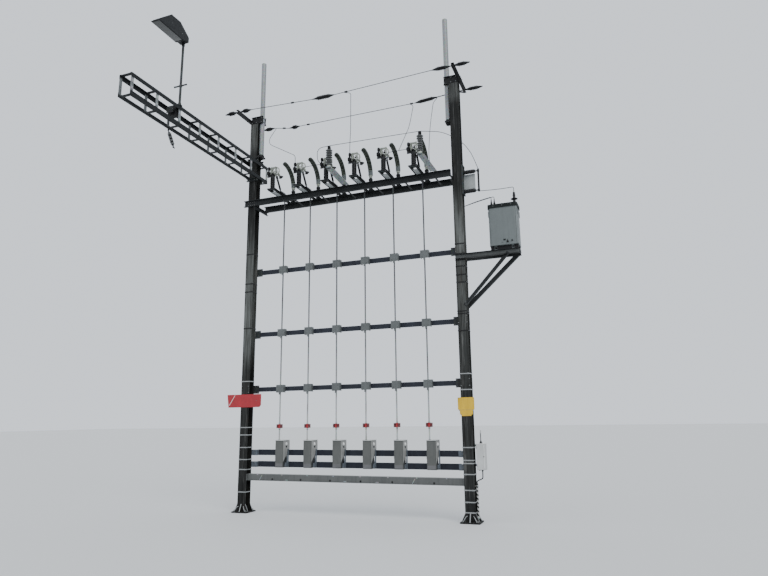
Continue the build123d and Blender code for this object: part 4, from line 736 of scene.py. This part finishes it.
def make_arresters():
    s = Shape()
    for n, base, foot in ((2, (0.136, -0.615, 7.31), (0.341, -0.125, 7.02)),
                          (5, (0.136, -0.44, 7.355), (0.347, -0.125, 7.02))):
        b, f = (Vector((UNIT_XS[n] + x, y, z)) for x, y, z in (base, foot))
        s.turned(b, UP, mm(0, 50, 8, 50, 10, 40, 40, 40, 45, 34), "cast_bright", 28)
        s.turned(b, UP, mm(42, 28, 434, 28), "rubber")
        for z in (0.068 + 0.0535 * k for k in range(7)):
            rim = 0.0745 if n == 2 or z > 0.32 else 0.061
            s.turned(b, UP, [(z - 0.01, 0.0275), (z - 0.006, 0.04), (z, rim - 0.003), (z + 0.003, rim),
                             (z + 0.007, rim - 0.002), (z + 0.02, 0.034), (z + 0.026, 0.0275)], "arrester", 32)
        s.turned(b, UP, mm(430, 36, 440, 40, 452, 40, 456, 22, 474, 20, 476, 38, 484, 38, 486, 14, 500, 12),
                 "head_dark")
        d = (f - b).normalized()
        w = d.cross(Vector(BACK)).normalized()
        u = w.cross(d)
        low, high = [], []
        for p, q in mm(-30, -62, -30, 62, 30, 62, 30, 54, -22, 54, -22, -54, 30, -54, 30, -62):
            at = b + u * p + w * q
            low.append(at + d * max(0.0, (at.z - b.z + 0.012) / -d.z))
            high.append(at + d * ((BEAM_TOP - at.z) / d.z))
        s.loft([low, high], "galvanised")
        s.bolts([b + d * k - u * 0.03 for k in (0.12, 0.22, 0.32)], -u, 0.011)
        s.box((b.x - 0.055, b.y - 0.055, b.z - 0.012), (b.x + 0.055, b.y + 0.055, b.z), "galvanised_light", 0.002)
        s.bolts(arc("z", b + Vector((0, 0, 0.008)), 0.044, 45, count=4), UP, 0.006)
    s.piece("shed_arresters", replaces=["surge_arresters"])


def make_fuse():
    s = Shape()
    face = 5.112
    s.prism("x", round_corners(rect(-0.095, 0.095, 6.47, 7.115), 0.012), 5.1, face, "dark_galvanised")
    for z in (6.47, 7.1):
        s.box((face, -0.095, z), (5.135, 0.095, z + 0.015), "dark_galvanised")
    for y in (-0.088, 0.076):
        s.box((face, y, 6.485), (5.13, y + 0.012, 7.1), "dark_galvanised")
    for z in (6.538, 6.965):
        s.turned((face, 0, z), EAST, mm(0, 40, 10, 42.5, 34, 42.5, 38, 34), "dark_steel")
        s.turned((face, 0, z), EAST, sheds(0.034, 0.232, 7, 0.04, 0.0475, 0.0455), "insulator", 28)
        s.turned((face, 0, z), EAST, mm(228, 30, 232, 36, 256, 36, 258, 14, 322, 14), "dark_steel")
        s.turned((FUSE_X, 0, z - 0.022), UP, mm(0, 21.5, 4, 24, 40, 24, 44, 21.5), "dark_steel")
        s.bolts([(face, -0.07, z), (face, 0.07, z)], EAST, 0.012, True)
    s.box((5.1115, 0.05, 6.57), (5.355, 0.058, 6.93), "panel_pale", 0.003)
    s.turned((FUSE_X, 0, 6.5), UP, mm(0, 12, 6, 21, 40, 21, 43, 20, 464, 20, 467, 21, 504, 21, 510, 11), "head_dark")
    s.piece("cutout_fuse", replaces=["fuse_holder"])


def make_transformer():
    s = Shape()
    at = (6.14, 0, COVER_TOP)
    s.turned(at, UP, mm(0, 60, 12, 60, 14, 48, 25, 46, 30, 34), "dark_steel")
    s.turned(at, UP, mm(26, 30, 60, 29, 64, 36, 70, 30, 111, 28, 118, 55, 124, 68, 130, 70, 136, 68, 150, 30, 200, 26,
                        206, 33, 212, 26, 271, 24), "insulator", 32)
    s.turned(at, UP, mm(268, 22, 273, 22, 275, 10, 318, 10, 321, 8), "cast_metal")
    for x in (5.69, 5.75):
        at = (x, -0.09, COVER_TOP)
        s.turned(at, UP, mm(0, 32, 10, 32, 12, 26), "dark_steel", 20)
        s.turned(at, UP, mm(10, 24, 22, 29, 30, 22, 48, 21, 56, 26, 66, 19, 100, 16, 104, 11, 145, 11), "insulator", 20)
    s.piece("shed_bushings", replaces=["transformer_bushings"])
    s = Shape()
    front = -TANK_HALF
    for x in (TANK_LEFT + 0.11, (TANK_LEFT + TANK_RIGHT) / 2, TANK_RIGHT - 0.11):
        for way in (-1, 1):
            y = way * TANK_HALF
            s.bolt((x, y + way * 0.0145, 6.0675), (0, way, 0), 0.009)
            s.box((x - 0.02, y + way * 0.0142, 6.046), (x + 0.02, y + way * 0.0149, 6.089), "cover_grey", 0.0005)
    for y in (-0.13, 0.13):
        for x, out in ((TANK_RIGHT, 0.012), (TANK_LEFT, -0.012)):
            s.prism("y", [(x, 5.85), (x + out, 5.87), (x + out, 5.98), (x, 6.0)], y - 0.008, y + 0.008, "tank_grey")
    # drain tap, oil gauge, bare plate and earth stud low on the front
    s.turned((5.99, front - 0.001, 5.305), FRONT, mm(0, 20, 14, 20, 16, 13, 34, 13), "head_dark")
    s.rod((5.99, front - 0.026, 5.285), (5.99, front - 0.026, 5.345), 0.007, "head_dark")
    s.turned((6.08, front - 0.001, 5.32), FRONT, mm(0, 14, 20, 14, 24, 9), "head_dark")
    s.box((5.91, front - 0.004, 5.335), (5.955, front + 0.002, 5.365), "cover_grey")
    s.bolt((5.885, front, 5.3), FRONT, 0.011, True)
    # pale strip down the tank's right front corner: a painted highlight where the light from the right catches the edge
    s.box((TANK_RIGHT - 0.022, front - 0.0022, 5.262), (TANK_RIGHT - 0.003, front + 0.001, 6.018), "tank_edge", 0.001)
    for (a, b), y in product(mm(5645, 5715, 5775, 6055, 6115, 6190), (-0.15, 0.1)):
        s.box((a, y, 5.1775), (b, y + 0.05, 5.2495), "head_dark", 0.003)
    s.piece("tank_fittings")
    s = Shape()
    # filler cap, lifting eyes and cover bolts on the lid
    s.turned((5.86, 0.04, COVER_TOP), UP, mm(0, 30, 18, 30, 20, 36, 38, 34, 44, 18), "cover_grey", 20)
    for x in (TANK_LEFT + 0.05, TANK_RIGHT - 0.12):
        s.tube(arc("y", (x, 0.12, COVER_TOP + 0.02), 0.022), 0.006, "cover_grey", 8, True)
    s.bolts(product((TANK_LEFT + 0.01, 5.915, TANK_RIGHT - 0.01), (front + 0.01, TANK_HALF - 0.01), (COVER_TOP,)), UP,
            0.011, True)
    s.piece("lid_fittings")


def make_boom_insulator():
    s = Shape()
    a, b = Vector((-0.12, LAMP_Y, 7.562)), Vector((0.039, LAMP_Y, 7.168))
    run = b - a
    n = run.length
    s.rod((-0.12, LAMP_Y, 7.56), (-0.12, LAMP_Y, BOOM_LOW), 0.012, "dark_steel")
    s.tube(arc("y", (-0.12, LAMP_Y, 7.572), 0.016), 0.005, "dark_steel", 8, True)
    s.turned(a, run, mm(0, 10, 50, 12, 56, 22, 74, 24), "dark_steel")
    p = (n - 0.144) / 7
    for i in range(7):
        z = 0.072 + i * p
        s.turned(a, run, [(z, 0.018), (z + p * 0.3, 0.019), (z + p * 0.42, 0.037), (z + p * 0.52, 0.038),
                          (z + p * 0.8, 0.02), (z + p + 0.001, 0.018)], "insulator" if i % 2 else "arrester")
    s.turned(a, run, [(n - 0.074, 0.022), (n - 0.06, 0.024), (n - 0.055, 0.012), (n - 0.002, 0.012), (n, 0.01)],
             "dark_steel")
    s.rod(b + Vector((0, -0.03, -0.002)), b + Vector((0, 0.03, -0.002)), 0.011, "dark_steel")
    s.bolt(b + Vector((0, -0.014, 0.006)), UP, 0.009, True)
    s.piece("drop_insulator", replaces=["boom_insulator"])


# Motor boxes, duct, control box, conduit, signs, lamp

def make_motor_boxes():
    s = Shape()
    # side outline: deep head, S-curved back, shallow foot
    back = [(0.245 - 0.165 * t * t * (3 - 2 * t), 1.4 - 0.36 * t) for t in (k / 16 for k in range(17))][::-1]
    side = [(BOX_FRONT, BOX_LOW + 0.012), (BOX_FRONT + 0.012, BOX_LOW), (0.07, BOX_LOW), (0.08, BOX_LOW + 0.012),
            *back, (0.245, BOX_TOP - 0.012), (0.235, BOX_TOP - 0.002), (BOX_FRONT, BOX_TOP - 0.002)]
    bow = [(0.004 - 0.04 * math.cos(math.pi * k / 10) + 0.02 * k, 1.05 + 0.026 * k) for k in range(11)]
    cheek = bow + [(0.241, 1.365), (0.241, BOX_TOP - 0.014), (BOX_FRONT + 0.004, BOX_TOP - 0.01)]
    under = [(BOX_FRONT + 0.006, BOX_LOW + 0.01), (0.066, BOX_LOW + 0.01)]
    under += [(min(y, 0.24) - 0.006, z) for y, z in back if z < 1.3]
    under += [(y, z - 0.006) for y, z in bow[::-1] if z < 1.29]
    hollow = [(y - 0.006, z) for y, z in back if y < 0.158]
    hollow = [(0.06, BOX_LOW + 0.004), (0.148, BOX_LOW + 0.004), (0.148, hollow[-1][1])] + hollow[::-1]
    post, gusset = mm(150, 930, 175, 930, 175, 1310, 150, 1310), mm(80, 1020, 150, 940, 150, 1300, 142, 1300)
    for m in (x + 0.05 for x in ROD_XS):
        s.prism("x", side, m - 0.095, m + 0.095, "box_grey", 0.005)
        # pale upper cheek plates are painted light, the cheek lit from the right; the dark plates below the S-curve are
        # painted shade in the recess
        for way in (-1, 1):
            for outline, mat in ((cheek, "box_cheek_lit"), (under, "box_recess_shade")):
                s.prism("x", outline, m + way * 0.0935, m + way * 0.0965, mat, 0.001)
        # dark block in the hollow under the S-curved back: painted shade
        s.prism("x", hollow, m - 0.084, m + 0.084, "box_recess_shade", 0.002)
        # raised rib round the front door, lip and door handle
        rib = round_corners(rect(m - 0.082, m + 0.082, BOX_LOW + 0.02, BOX_TOP - 0.03), 0.014)
        s.prism("y", rib, BOX_FRONT - 0.0035, BOX_FRONT + 0.002, "box_grey", 0.002)
        s.box((m - 0.084, BOX_FRONT - 0.005, 0.952), (m + 0.084, BOX_FRONT - 0.001, 1.02), "box_lip", 0.002)
        s.turned((m + 0.066, BOX_FRONT - 0.003, 1.22), FRONT, mm(0, 10, 6, 10, 8, 6), "bolt", 16)
        # boss, cable gland and screws on the right cheek, glands on the left one
        s.turned((m + 0.0955, 0.085, 1.42), EAST, mm(0, 34, 8, 34, 12, 26, 20, 22), "box_rim")
        s.turned((m + 0.0955, 0.1, 1.365), EAST, mm(0, 24, 6, 24, 8, 18), "head_dark", 20)
        for y, z in mm(-20, 1460, 115, 1460, -20, 985, 20, 975):
            s.turned((m + 0.0945, y, z), EAST, mm(0, 7, 3, 7, 4, 4), "bolt", 12)
        s.turned((m - 0.094, 0.0, 1.165), WEST, mm(0, 20, 12, 20, 14, 14, 30, 14), "box_rim", 16)
        s.turned((m - 0.096, 0.09, 1.165), WEST, mm(0, 30, 10, 30, 14, 24, 22, 22), "box_rim", 20)
        # mounting straps behind
        s.box((m + 0.04, 0.035, 0.95), (m + 0.115, 0.15, 1.03), "bracket_pale", 0.003)
        s.prism("x", post, m + 0.095, m + 0.118, "bracket_pale", 0.002)
        s.prism("x", gusset, m + 0.108, m + 0.116, "bracket_pale", 0.001)
        s.prism("x", post, m - 0.118, m - 0.095, "bracket_pale", 0.002)
        for z in (0.987, 1.235):
            s.box((m - 0.095, 0.12, z - 0.03), (m + 0.095, 0.175, z + 0.03), "bracket_pale", 0.003)
            s.bolts([(m - 0.1065, 0.15, z), (m + 0.1065, 0.15, z)], FRONT, 0.01)
    s.piece("drive_cases", replaces=["motor_boxes"])
    s = Shape()
    lid_top = BOX_TOP + 0.015
    for x in ROD_XS:
        m = x + 0.05
        outer = round_corners(rect(m - 0.101, m + 0.101, -0.046, 0.25), 0.014, 5)
        hole = [p.xy for p in arc("z", (x, ROD_Y, 0), 0.018, count=len(outer))]
        # both rows of points start at the same bearing from the rod
        start = min(range(len(outer)), key=lambda k: math.atan2(outer[k][1] - ROD_Y, outer[k][0] - x) % (2 * math.pi))
        outer = outer[start:] + outer[:start]
        s.loft([[(*p, z) for p in row] for row, z in (
            (outer, BOX_TOP), (outer, lid_top - 0.003), (inset(outer, 0.003), lid_top), (hole, lid_top),
            (hole, BOX_TOP))], "box_light", True)
        s.turned((x, ROD_Y, lid_top), UP, mm(0, 30, 4, 30, 4, 18.5, 0, 18.5), "head_dark")
        s.box((m - 0.0955, -0.0405, 1.4805), (m + 0.0955, -0.0385, 1.4895), "head_dark", 0.0005)
    s.piece("drive_lids", replaces=["motor_lids"])


def make_duct():
    s = Shape()
    # dark discs for the holes in the duct front: painted shade inside the holes
    for x in (0.72, 1.4, 2.08, 2.76, 3.44, 4.3):
        s.turned((x, -0.0452, 0.695), FRONT, mm(0, 20, 3, 20, 3, 15, 0.5, 14), "head_dark", 20)
    for x in (0.4, 3.85):
        s.prism("y", beside(x, 0, 675, 12, 672, 72, 772, 60, 776), -0.05, -0.0448, "galvanised_light")
    for x in (1.06, 2.42, 3.12):
        s.box((x - 0.03, -0.0565, 0.665), (x + 0.03, -0.0448, 0.69), "galvanised_light")
        s.bolt((x, -0.0565, 0.678), FRONT, 0.008)
    for x in (0.35 + 0.6 * i for i in range(8)):
        s.box((x - 0.012, -0.0475, 0.774), (x + 0.012, -0.0445, 0.7962), "galvanised_light", 0.001)
    s.box((0.108, -0.0468, 0.788), (4.892, 0.0468, 0.7965), "duct_lid", 0.002)
    for x, direction in ((0.108, EAST), (4.892, WEST)):
        s.bolts(product((x,), (-0.075, 0.075), (0.69, 0.765)), direction, 0.009)
    s.piece("duct_trim")


def make_control_box():
    s = Shape()
    x0, x1, y0, y1, z0, z1 = 5.15, 5.32, -0.06, 0.1, 0.955, 1.44
    s.prism("z", round_corners(rect(x0, x1, y0 + 0.012, y1), 0.012), z0, z1 - 0.004, "box_white", 0.003)
    s.prism("y", round_corners(rect(x0 + 0.002, x1 - 0.002, z0 + 0.004, z1 - 0.01), 0.014), y0, y0 + 0.013,
            "box_white", 0.004)
    s.prism("z", round_corners(rect(x0, x1, y0 + 0.004, y1), 0.012), z1 - 0.012, z1, "box_rim", 0.003)
    s.prism("y", round_corners(rect(x1 - 0.026, x1 - 0.012, z0 + 0.03, z1 - 0.03), 0.004), y0 - 0.0025, y0 + 0.002,
            "box_rim", 0.001)
    for z in (1.035, 1.36):
        s.turned((x0 + 0.006, y0 + 0.004, z - 0.02), UP, mm(0, 6, 40, 6), "galvanised", 12)
    s.turned((x1 - 0.03, y0 - 0.001, 1.2), FRONT, mm(0, 13, 4, 13, 6, 9), "galvanised", 20)
    for z in (1.015, 1.38):
        s.box((5.1, 0.07, z), (x0 + 0.02, 0.095, z + 0.04), "galvanised")
    mid = (5.235, 0, z1)
    s.turned(mid, UP, mm(0, 30, 10, 30, 12, 27, 46, 13, 60, 9), "rubber", 20)
    s.turned(mid, UP, mm(55, 8.5, 190, 8.5, 195, 7), "rubber", 14)
    s.turned(mid, UP, mm(190, 7.5, 200, 9, 240, 8.8, 248, 4), "box_light", 14)
    s.turned((5.245, 0, z0), DOWN, mm(0, 22, 10, 22, 12, 18, 30, 13), "rubber", 16)
    s.turned((5.185, 0.03, z0), DOWN, mm(0, 16, 14, 16, 16, 9), "rubber", 16)
    s.piece("control_case", replaces=["control_box"])


def make_conduit():
    """Hose with a pale and a dark spiral band, the dark one sunk a little."""
    s = Shape()
    x, low, high, r = 5.13, 0.037, 0.69, 0.02
    steps, turns, pitch = 24, 120, 0.072
    rows = []
    for k in range(turns + 1):
        z = low + (high - low) * k / turns
        rows.append([])
        for q in range(steps):
            a = 2 * math.pi * q / steps
            phase = (z / pitch + q / steps) % 1
            soft = min(phase, abs(phase - 0.5), 1 - phase)
            bulge = 0.0 if phase < 0.5 else -0.0028 * min(1, soft * 10)
            rows[-1].append(s.bm.verts.new((x + (r + bulge) * math.cos(a), (r + bulge) * math.sin(a), z)))
    s.mats = ["hose_pale", "rubber"]
    for k, q in product(range(turns), range(steps)):
        z = low + (high - low) * (k + 0.5) / turns
        n = (q + 1) % steps
        face = s.bm.faces.new((rows[k][q], rows[k][n], rows[k + 1][n], rows[k + 1][q]))
        face.material_index = 0 if (z / pitch + (q + 0.5) / steps) % 1 < 0.5 else 1
    for ring in (rows[0][::-1], rows[-1]):
        s.bm.faces.new(ring).material_index = 1
    s.turned((x, 0, high), UP, mm(-12, 20.5, 4, 20.5, 20, 13), "rubber", 20)
    lead = mm(5245, 955, 5245, 860, 5235, 800, 5175, 770, 5135, 745, 5130, 700)
    s.tube(smooth_row([(u, 0, z) for u, z in lead]), 0.0105, "rubber", 14)
    for z in (0.077, 0.65):
        s.box((5.0035, -0.01, z), (5.12, 0.01, z + 0.02), "galvanised")
        s.turned((x, 0, z), UP, mm(0, 23.5, 20, 23.5), "galvanised")
    s.piece("spiral_conduit", replaces=["control_conduit"])


def make_signs():
    """Two bare plates, with a pale scrape on the red one."""
    s = Shape()
    thin = 0.0008
    s.prism("y", mm(-420, 2209, 380, 2209, 420, 2249, 420, 2491, -459, 2491), -0.101, -0.098, "sign_red", thin)
    s.prism("y", mm(-405, 2262, -398, 2250, -250, 2472, -262, 2476), -0.1016, -0.1008, "sign_white", 0.0002)
    s.bolts([(-0.3, -0.101, 2.35), (0.3, -0.101, 2.35)], FRONT, 0.008)
    s.box((-0.06, -0.098, 2.33), (0.06, -0.095, 2.37), "galvanised", thin)
    for z in (2.27, 2.43):
        s.box((-0.36, -0.0985, z - 0.012), (0.36, -0.0955, z + 0.012), "galvanised", thin)
    s.piece("red_plate", replaces=["signal_plates"])
    s = Shape()
    body = round_corners(rect(RIGHT - 0.1625, RIGHT + 0.1625, 2.072, 2.308), 0.014)
    tab = beside(RIGHT, -127.5, 2068, -127.5, 1994, -87.5, 1954, 87.5, 1954, 127.5, 1994, 127.5, 2068)
    for outline in (body, round_corners(tab, 0.012)):
        s.prism("y", outline, -0.101, -0.098, "sign_yellow", thin)
    s.box((RIGHT - 0.145, -0.0985, 2.05), (RIGHT + 0.145, -0.0955, 2.085), "galvanised", thin)
    s.bolts([(x, -0.101, z) for x, z in beside(RIGHT, -145, 2290, 145, 2290, -100, 1985, 100, 1985)], FRONT, 0.006)
    s.box((RIGHT - 0.06, -0.098, 2.17), (RIGHT + 0.06, -0.095, 2.21), "galvanised", thin)
    s.piece("yellow_plate")


def make_lamp():
    s = Shape()
    x0, x1 = LAMP_X - 0.1, LAMP_X + 0.1
    out = mm(-3770, 9407, -3420, 9740, -3165, 9750, -2890, 9560, -2890, 9440, -2990, 9440, -3050, 9407)
    s.prism("x", round_corners(out, 0.012, 3), x0, x1, "lamp_black", 0.006)
    s.prism("x", mm(-3735, 9408.5, -3075, 9408.5, -3090, 9402, -3720, 9402), LAMP_X - 0.085, LAMP_X + 0.085, "lens",
            0.002)
    s.prism("x", mm(-3710, 9470, -3425, 9742, -3405, 9742, -3690, 9470), x0 - 0.0004, x1 + 0.0004, "lamp_black", 0.0002)
    for x, direction in ((x0, WEST), (x1, EAST)):
        s.bolts([(x, -3.4, 9.56), (x, -3.1, 9.52)], direction, 0.01)
    s.turned((LAMP_X, LAMP_Y, 9.37), UP, mm(0, 26, 4, 31, 66, 31, 70, 28), "lamp_black", 20)
    s.bolt((LAMP_X + 0.03, LAMP_Y, 9.41), EAST, 0.009, True)
    s.piece("lantern", replaces=["lamp_head"])
    s = Shape()
    foot, bar = 8.044, 8.482
    s.bolts([(x, LAMP_Y + y, foot) for x, y in mm(-60, -30, 100, 0, -60, 30)], UP, 0.012, True)
    s.turned((LAMP_X, LAMP_Y, foot), UP, mm(0, 55, 10, 55, 12, 34, 60, 30, 62, 26), "dark_galvanised")
    for x in (LAMP_X - 0.024, LAMP_X + 0.024):
        s.tube(arc("x", (x, LAMP_Y, bar), 0.026), 0.004, "bolt", 8, True)
    for x in (-0.04, 0.251):
        s.turned((x, LAMP_Y, bar), EAST, mm(0, 18, 8, 18), "rubber", 16)
    s.box((-0.085, -3.0635, 7.86), (0.08, -3.0605, 8.0), "dark_galvanised", 0.001)
    s.turned((0.06, -3.0635, 7.93), FRONT, mm(0, 10, 5, 10), "bolt", 16)
    s.piece("lamp_fittings")


# Bolts and small fittings on the steelwork that stays as the solids have it

def make_feet():
    """Anchor nuts, worn edges of the gussets and the earth leads."""
    s = Shape()
    edge = ((0.07, 0.025), (0.0735, 0.026), (0.0018, 0.177), (0.0, 0.174))
    for mid, _ in MASTS:
        s.bolts(product((mid - 0.145, mid + 0.145), (-0.135, 0.135), (0.025,)), UP, 0.024, True)
        for way in (1, -1):
            face = way * REAR
            s.prism("x", [(face + way * v, z) for v, z in edge], mid - 0.009, mid + 0.009, "edge_pale", 0.0008)
            for side in (-1, 1):
                x, y = mid + side * SIDE, face - way * 0.005
                s.prism("y", [(x + side * v, z) for v, z in edge], y - 0.006, y + 0.006, "edge_pale", 0.0008)
        for side in (-1, 1):
            lead = [(mid + side * x, y, z) for x, y, z in ((0.06, -0.1, 0.13), (0.085, -0.135, 0.11),
                                                           (0.115, -0.15, 0.06), (0.125, -0.155, 0.034))]
            s.tube(smooth_row(lead), 0.007, "edge_pale", 10)
    s.piece("foot_fittings")


def make_mast_heads():
    s = Shape()
    for mid, way in MASTS:
        for x, y, z in product((-0.06, 0.05, 0.19), (-REAR, REAR), (9.065, 9.18)):
            s.bolt((mid + way * x, y, z), BACK if y > 0 else FRONT, 0.013)
        tube_x = mid + way * 0.16
        for z in (9.075, 9.175):
            s.tube(arc("z", (tube_x, 0, z), 0.0625, -95 if way > 0 else 85, 190, 16), 0.0055, "bolt", 8)
        # cap, collar, seat plate and end plug of the tube
        s.turned((tube_x, 0, 10.64), UP, mm(0, 57.2, 36, 57.4, 40, 52), "tube_metal", 32)
        s.turned((tube_x, 0, 8.181), UP, mm(0, 70, 14, 70, 16, 60.5, 40, 59.5), "head_dark", 32)
        s.box((mid + way * 0.0995, -0.0955, 8.1445), (mid + way * 0.2175, 0.0955, 8.1808), "head_dark", 0.002)
        s.turned((tube_x, 0, 8.1445), DOWN, mm(0, 56, 20, 54, 36, 42, 44, 20), "head_dark", 28)
        for x, y in product((0.125, 0.195), (-0.075, 0.075)):
            s.bolt((mid + way * x, y, 8.18), UP, 0.012, True)
            s.bolt((mid + way * x, y, 8.145), DOWN, 0.011)
        arm_x = mid - way * SIDE
        s.bolts([(arm_x - way * 0.008, y + 0.025, LINE_Z) for y in (-0.6, -0.45, -0.3, 0.3, 0.43)], (-way, 0, 0), 0.013)
        for y in (LINE_FRONT, LINE_REAR):
            s.tube(arc("x", (arm_x - way * 0.034, y, LINE_Z), 0.02, count=16), 0.005, "bolt", 8, True)
        s.bolts([(arm_x - way * 0.06, y, 9.16) for y in (-0.07, 0.0, 0.07)], UP, 0.012, True)
    s.piece("head_fittings")


def make_boom_chords():
    """Corner angles of the boom with rolled toes and rounded heels."""
    s = Shape()
    legs = mm(0, 0, 0, 84, 5, 85, 7, 83, 8, 14, 14, 7.5, 46, 6.5, 47, 4, 46, 0)
    for side in (-1, 1):
        for z, way in ((BOOM_LOW, 1), (BOOM_TOP, -1)):
            line = [(side * (BOOM_HALF - u), z + way * v) for u, v in legs]
            s.prism("y", line if side * way < 0 else line[::-1], -4.2405, 0.3325, "chord_steel", 0)
    s.piece("boom_angles", replaces=["boom_chords"])


def make_boom_fittings():
    s = Shape()
    rivet = mm(0, 8.5, 4, 8, 7, 4)
    for y in BATTEN_YS:
        for side in (-1, 1):
            for z, face, direction in ((7.627, BOOM_LOW, DOWN), (8.011, BOOM_TOP, UP)):
                for dy in (-0.016, 0.016):
                    s.turned((side * BOOM_HALF, y + dy, z), (side, 0, 0), rivet, "dark_galvanised", 12)
                s.turned((side * 0.121, y, face), direction, rivet, "dark_galvanised", 12)
        for side, z in product((-1, 1), (7.75, 7.89)):
            s.box((side * 0.1365, y - 0.025, z - 0.03), (side * 0.1395, y + 0.025, z + 0.03),
                  "galvanised_light", 0.0008)
    for way in (1, -1):
        for z, x in product((7.5695, 8.0685), (-0.125, -0.07, 0.07, 0.125)):
            s.bolt((x, way * (REAR + 0.006), z), (0, way, 0), 0.013)
    s.piece("boom_fittings")


def make_platform_fittings():
    s = Shape()
    for x in UNIT_XS:
        for side in (-1, 1):
            for y in (-0.125, 0.395):
                s.bolt((x + side * 0.066, y, 7.041), UP, 0.011, True)
                s.bolt((x + side * 0.066, y, 7.035), DOWN, 0.0105)
            s.bolts([(x + side * 0.028, y, BASE_TOP) for y in (-0.505, 0.505)], UP, 0.0085)
        s.box((x - 0.108, -0.545, 7.06), (x + 0.092, -0.425, 7.0862), "head_dark", 0.003)
        s.box((x - 0.092, 0.425, 7.06), (x + 0.092, 0.5295, 7.0862), "head_dark", 0.003)
        s.box((x - 0.051, -0.42, 7.0275), (x + 0.051, -0.147, 7.0352), "panel_pale", 0.003)
        s.box((x - 0.088, -0.5335, 7.04), (x + 0.088, -0.5302, 7.0745), "dark_galvanised", 0.001)
        s.bolts([(x - 0.07, -0.5335, 7.057), (x + 0.07, -0.5335, 7.057)], FRONT, 0.009)
    s.bolts(product((-0.08, -0.03, 0.03, 0.08), (-REAR - 0.007,), (6.925, 7.0)), FRONT, 0.012)
    s.bolts([(x + 0.359, y, 6.907) for x in UNIT_XS[:5] for y in (-0.088, 0.361)], UP, 0.009)
    for x, way in ((0.106, 1), (4.894, -1)):
        s.bolts(product((x,), (-0.05, 0.05), (6.835, 6.87)), (way, 0, 0), 0.011)
    s.piece("platform_bolts")


def make_rail_fittings():
    s = Shape()
    for mid in RAIL_MIDDLES:
        for x in ROD_XS:
            for side in (-1, 1):
                s.bolts([(x + side * 0.09, 0.075, mid + dz) for dz in (-0.03, 0.03)], (side, 0, 0), 0.01)
            s.turned((x, ROD_Y, mid + 0.006), UP, mm(0, 27, 10, 27, 12, 16.2, 0, 16.2), "rubber")
            s.bolts([(x + dx, 0.004, mid + dz) for dz in (0.045, -0.045) for dx in (-0.055, 0.055)], FRONT, 0.009)
        for mast, way in MASTS:
            s.bolts([(mast + way * dx, REAR, mid + dz) for dx in (0.135, 0.21) for dz in (-0.065, 0.065)], FRONT, 0.012)
            s.bolts([(mast + dx, -REAR, mid + dz) for dz in (-0.065, 0.065) for dx in (-0.085, 0.085)], FRONT, 0.012,
                    True)
    for low in (1.175, 0.927):
        for mast, way in MASTS:
            for z in (low + 0.03, low + 0.09):
                s.bolt((mast + way * 0.235, 0.14, z), (way, 0, 0), 0.01)
                s.bolt((mast + way * 0.17, REAR, z), FRONT, 0.012)
    s.piece("rail_bolts")


def make_bands():
    """Steel bands with their buckles; the high ones are dark with age."""
    s = Shape()
    left = (5.718, 5.011, 4.822, 3.972, 2.777, 1.774, 1.614, 1.348, 1.095, 0.886, 0.42)
    right = (5.404, 5.193, 5.056, 4.93, 4.753, 4.598, 4.004, 3.954, 3.612, 2.766, 2.458, 1.367, 1.129, 1.074, 0.874,
             0.587, 0.373, 0.188)
    for mid, heights in ((0.0, left), (RIGHT, right)):
        for n, z in enumerate(heights):
            mat = "head_dark" if z > 3.2 else "edge_pale"
            for y0, y1 in mm(-100, -94.9, 94.9, 100):
                s.box((mid - 0.105, y0, z - 0.01), (mid + 0.105, y1, z + 0.01), mat, 0.001)
            for x0, x1 in mm(-105, -99.9, 99.9, 105):
                s.box((mid + x0, -0.0985, z - 0.0096), (mid + x1, 0.0985, z + 0.0096), mat, 0.001)
            x = mid + (0.062 if n % 2 else -0.058)
            s.box((x - 0.016, -0.1045, z - 0.013), (x + 0.016, -0.0995, z + 0.013), mat)
            s.turned((x, -0.104, z), FRONT, mm(0, 5, 4, 5, 5, 3), "bolt", 6)
    s.piece("buckled_bands", replaces=["mast_bands"])


def make_transformer_steel():
    s = Shape()
    for x, z in product((5.01, 5.06), (5.1, 5.15)):
        s.bolt((x, -0.101, z), FRONT, 0.012, True)
        s.bolt((x, 0.101, z), BACK, 0.012, True)
    s.bolts(product((5.745, 6.085), (-0.12, 0.12), (5.183,)), UP, 0.01)
    s.bolts([(5.085, -0.112, 4.135), (5.085, -0.112, 4.175)], FRONT, 0.012)
    s.bolts([(TANK_RIGHT, y, 5.127) for y in (-0.06, 0.0, 0.06)], EAST, 0.012)
    for way in (-1, 1):
        s.box((4.905, way * 0.1008, 5.0865), (6.192, way * 0.1022, 5.1675), "web_grey", 0.0004)
        for z0, z1, mat in ((5.0762, 5.0772, "head_dark"), (5.1768, 5.1776, "dark_galvanised")):
            s.box((4.899, way * REAR, z0), (6.2005, way * 0.1455, z1), mat, 0.0003)
    s.piece("bracket_bolts")


set_camera()
set_light()
set_floor()
dress_nodes()
for make in (make_posts, make_horns, make_heads, make_moving, make_strains, make_line_fittings, make_arresters,
             make_fuse, make_transformer, make_boom_insulator, make_motor_boxes, make_duct, make_control_box,
             make_conduit, make_signs, make_lamp, make_feet, make_mast_heads, make_boom_chords, make_boom_fittings,
             make_platform_fittings, make_rail_fittings, make_bands, make_transformer_steel):
    make()
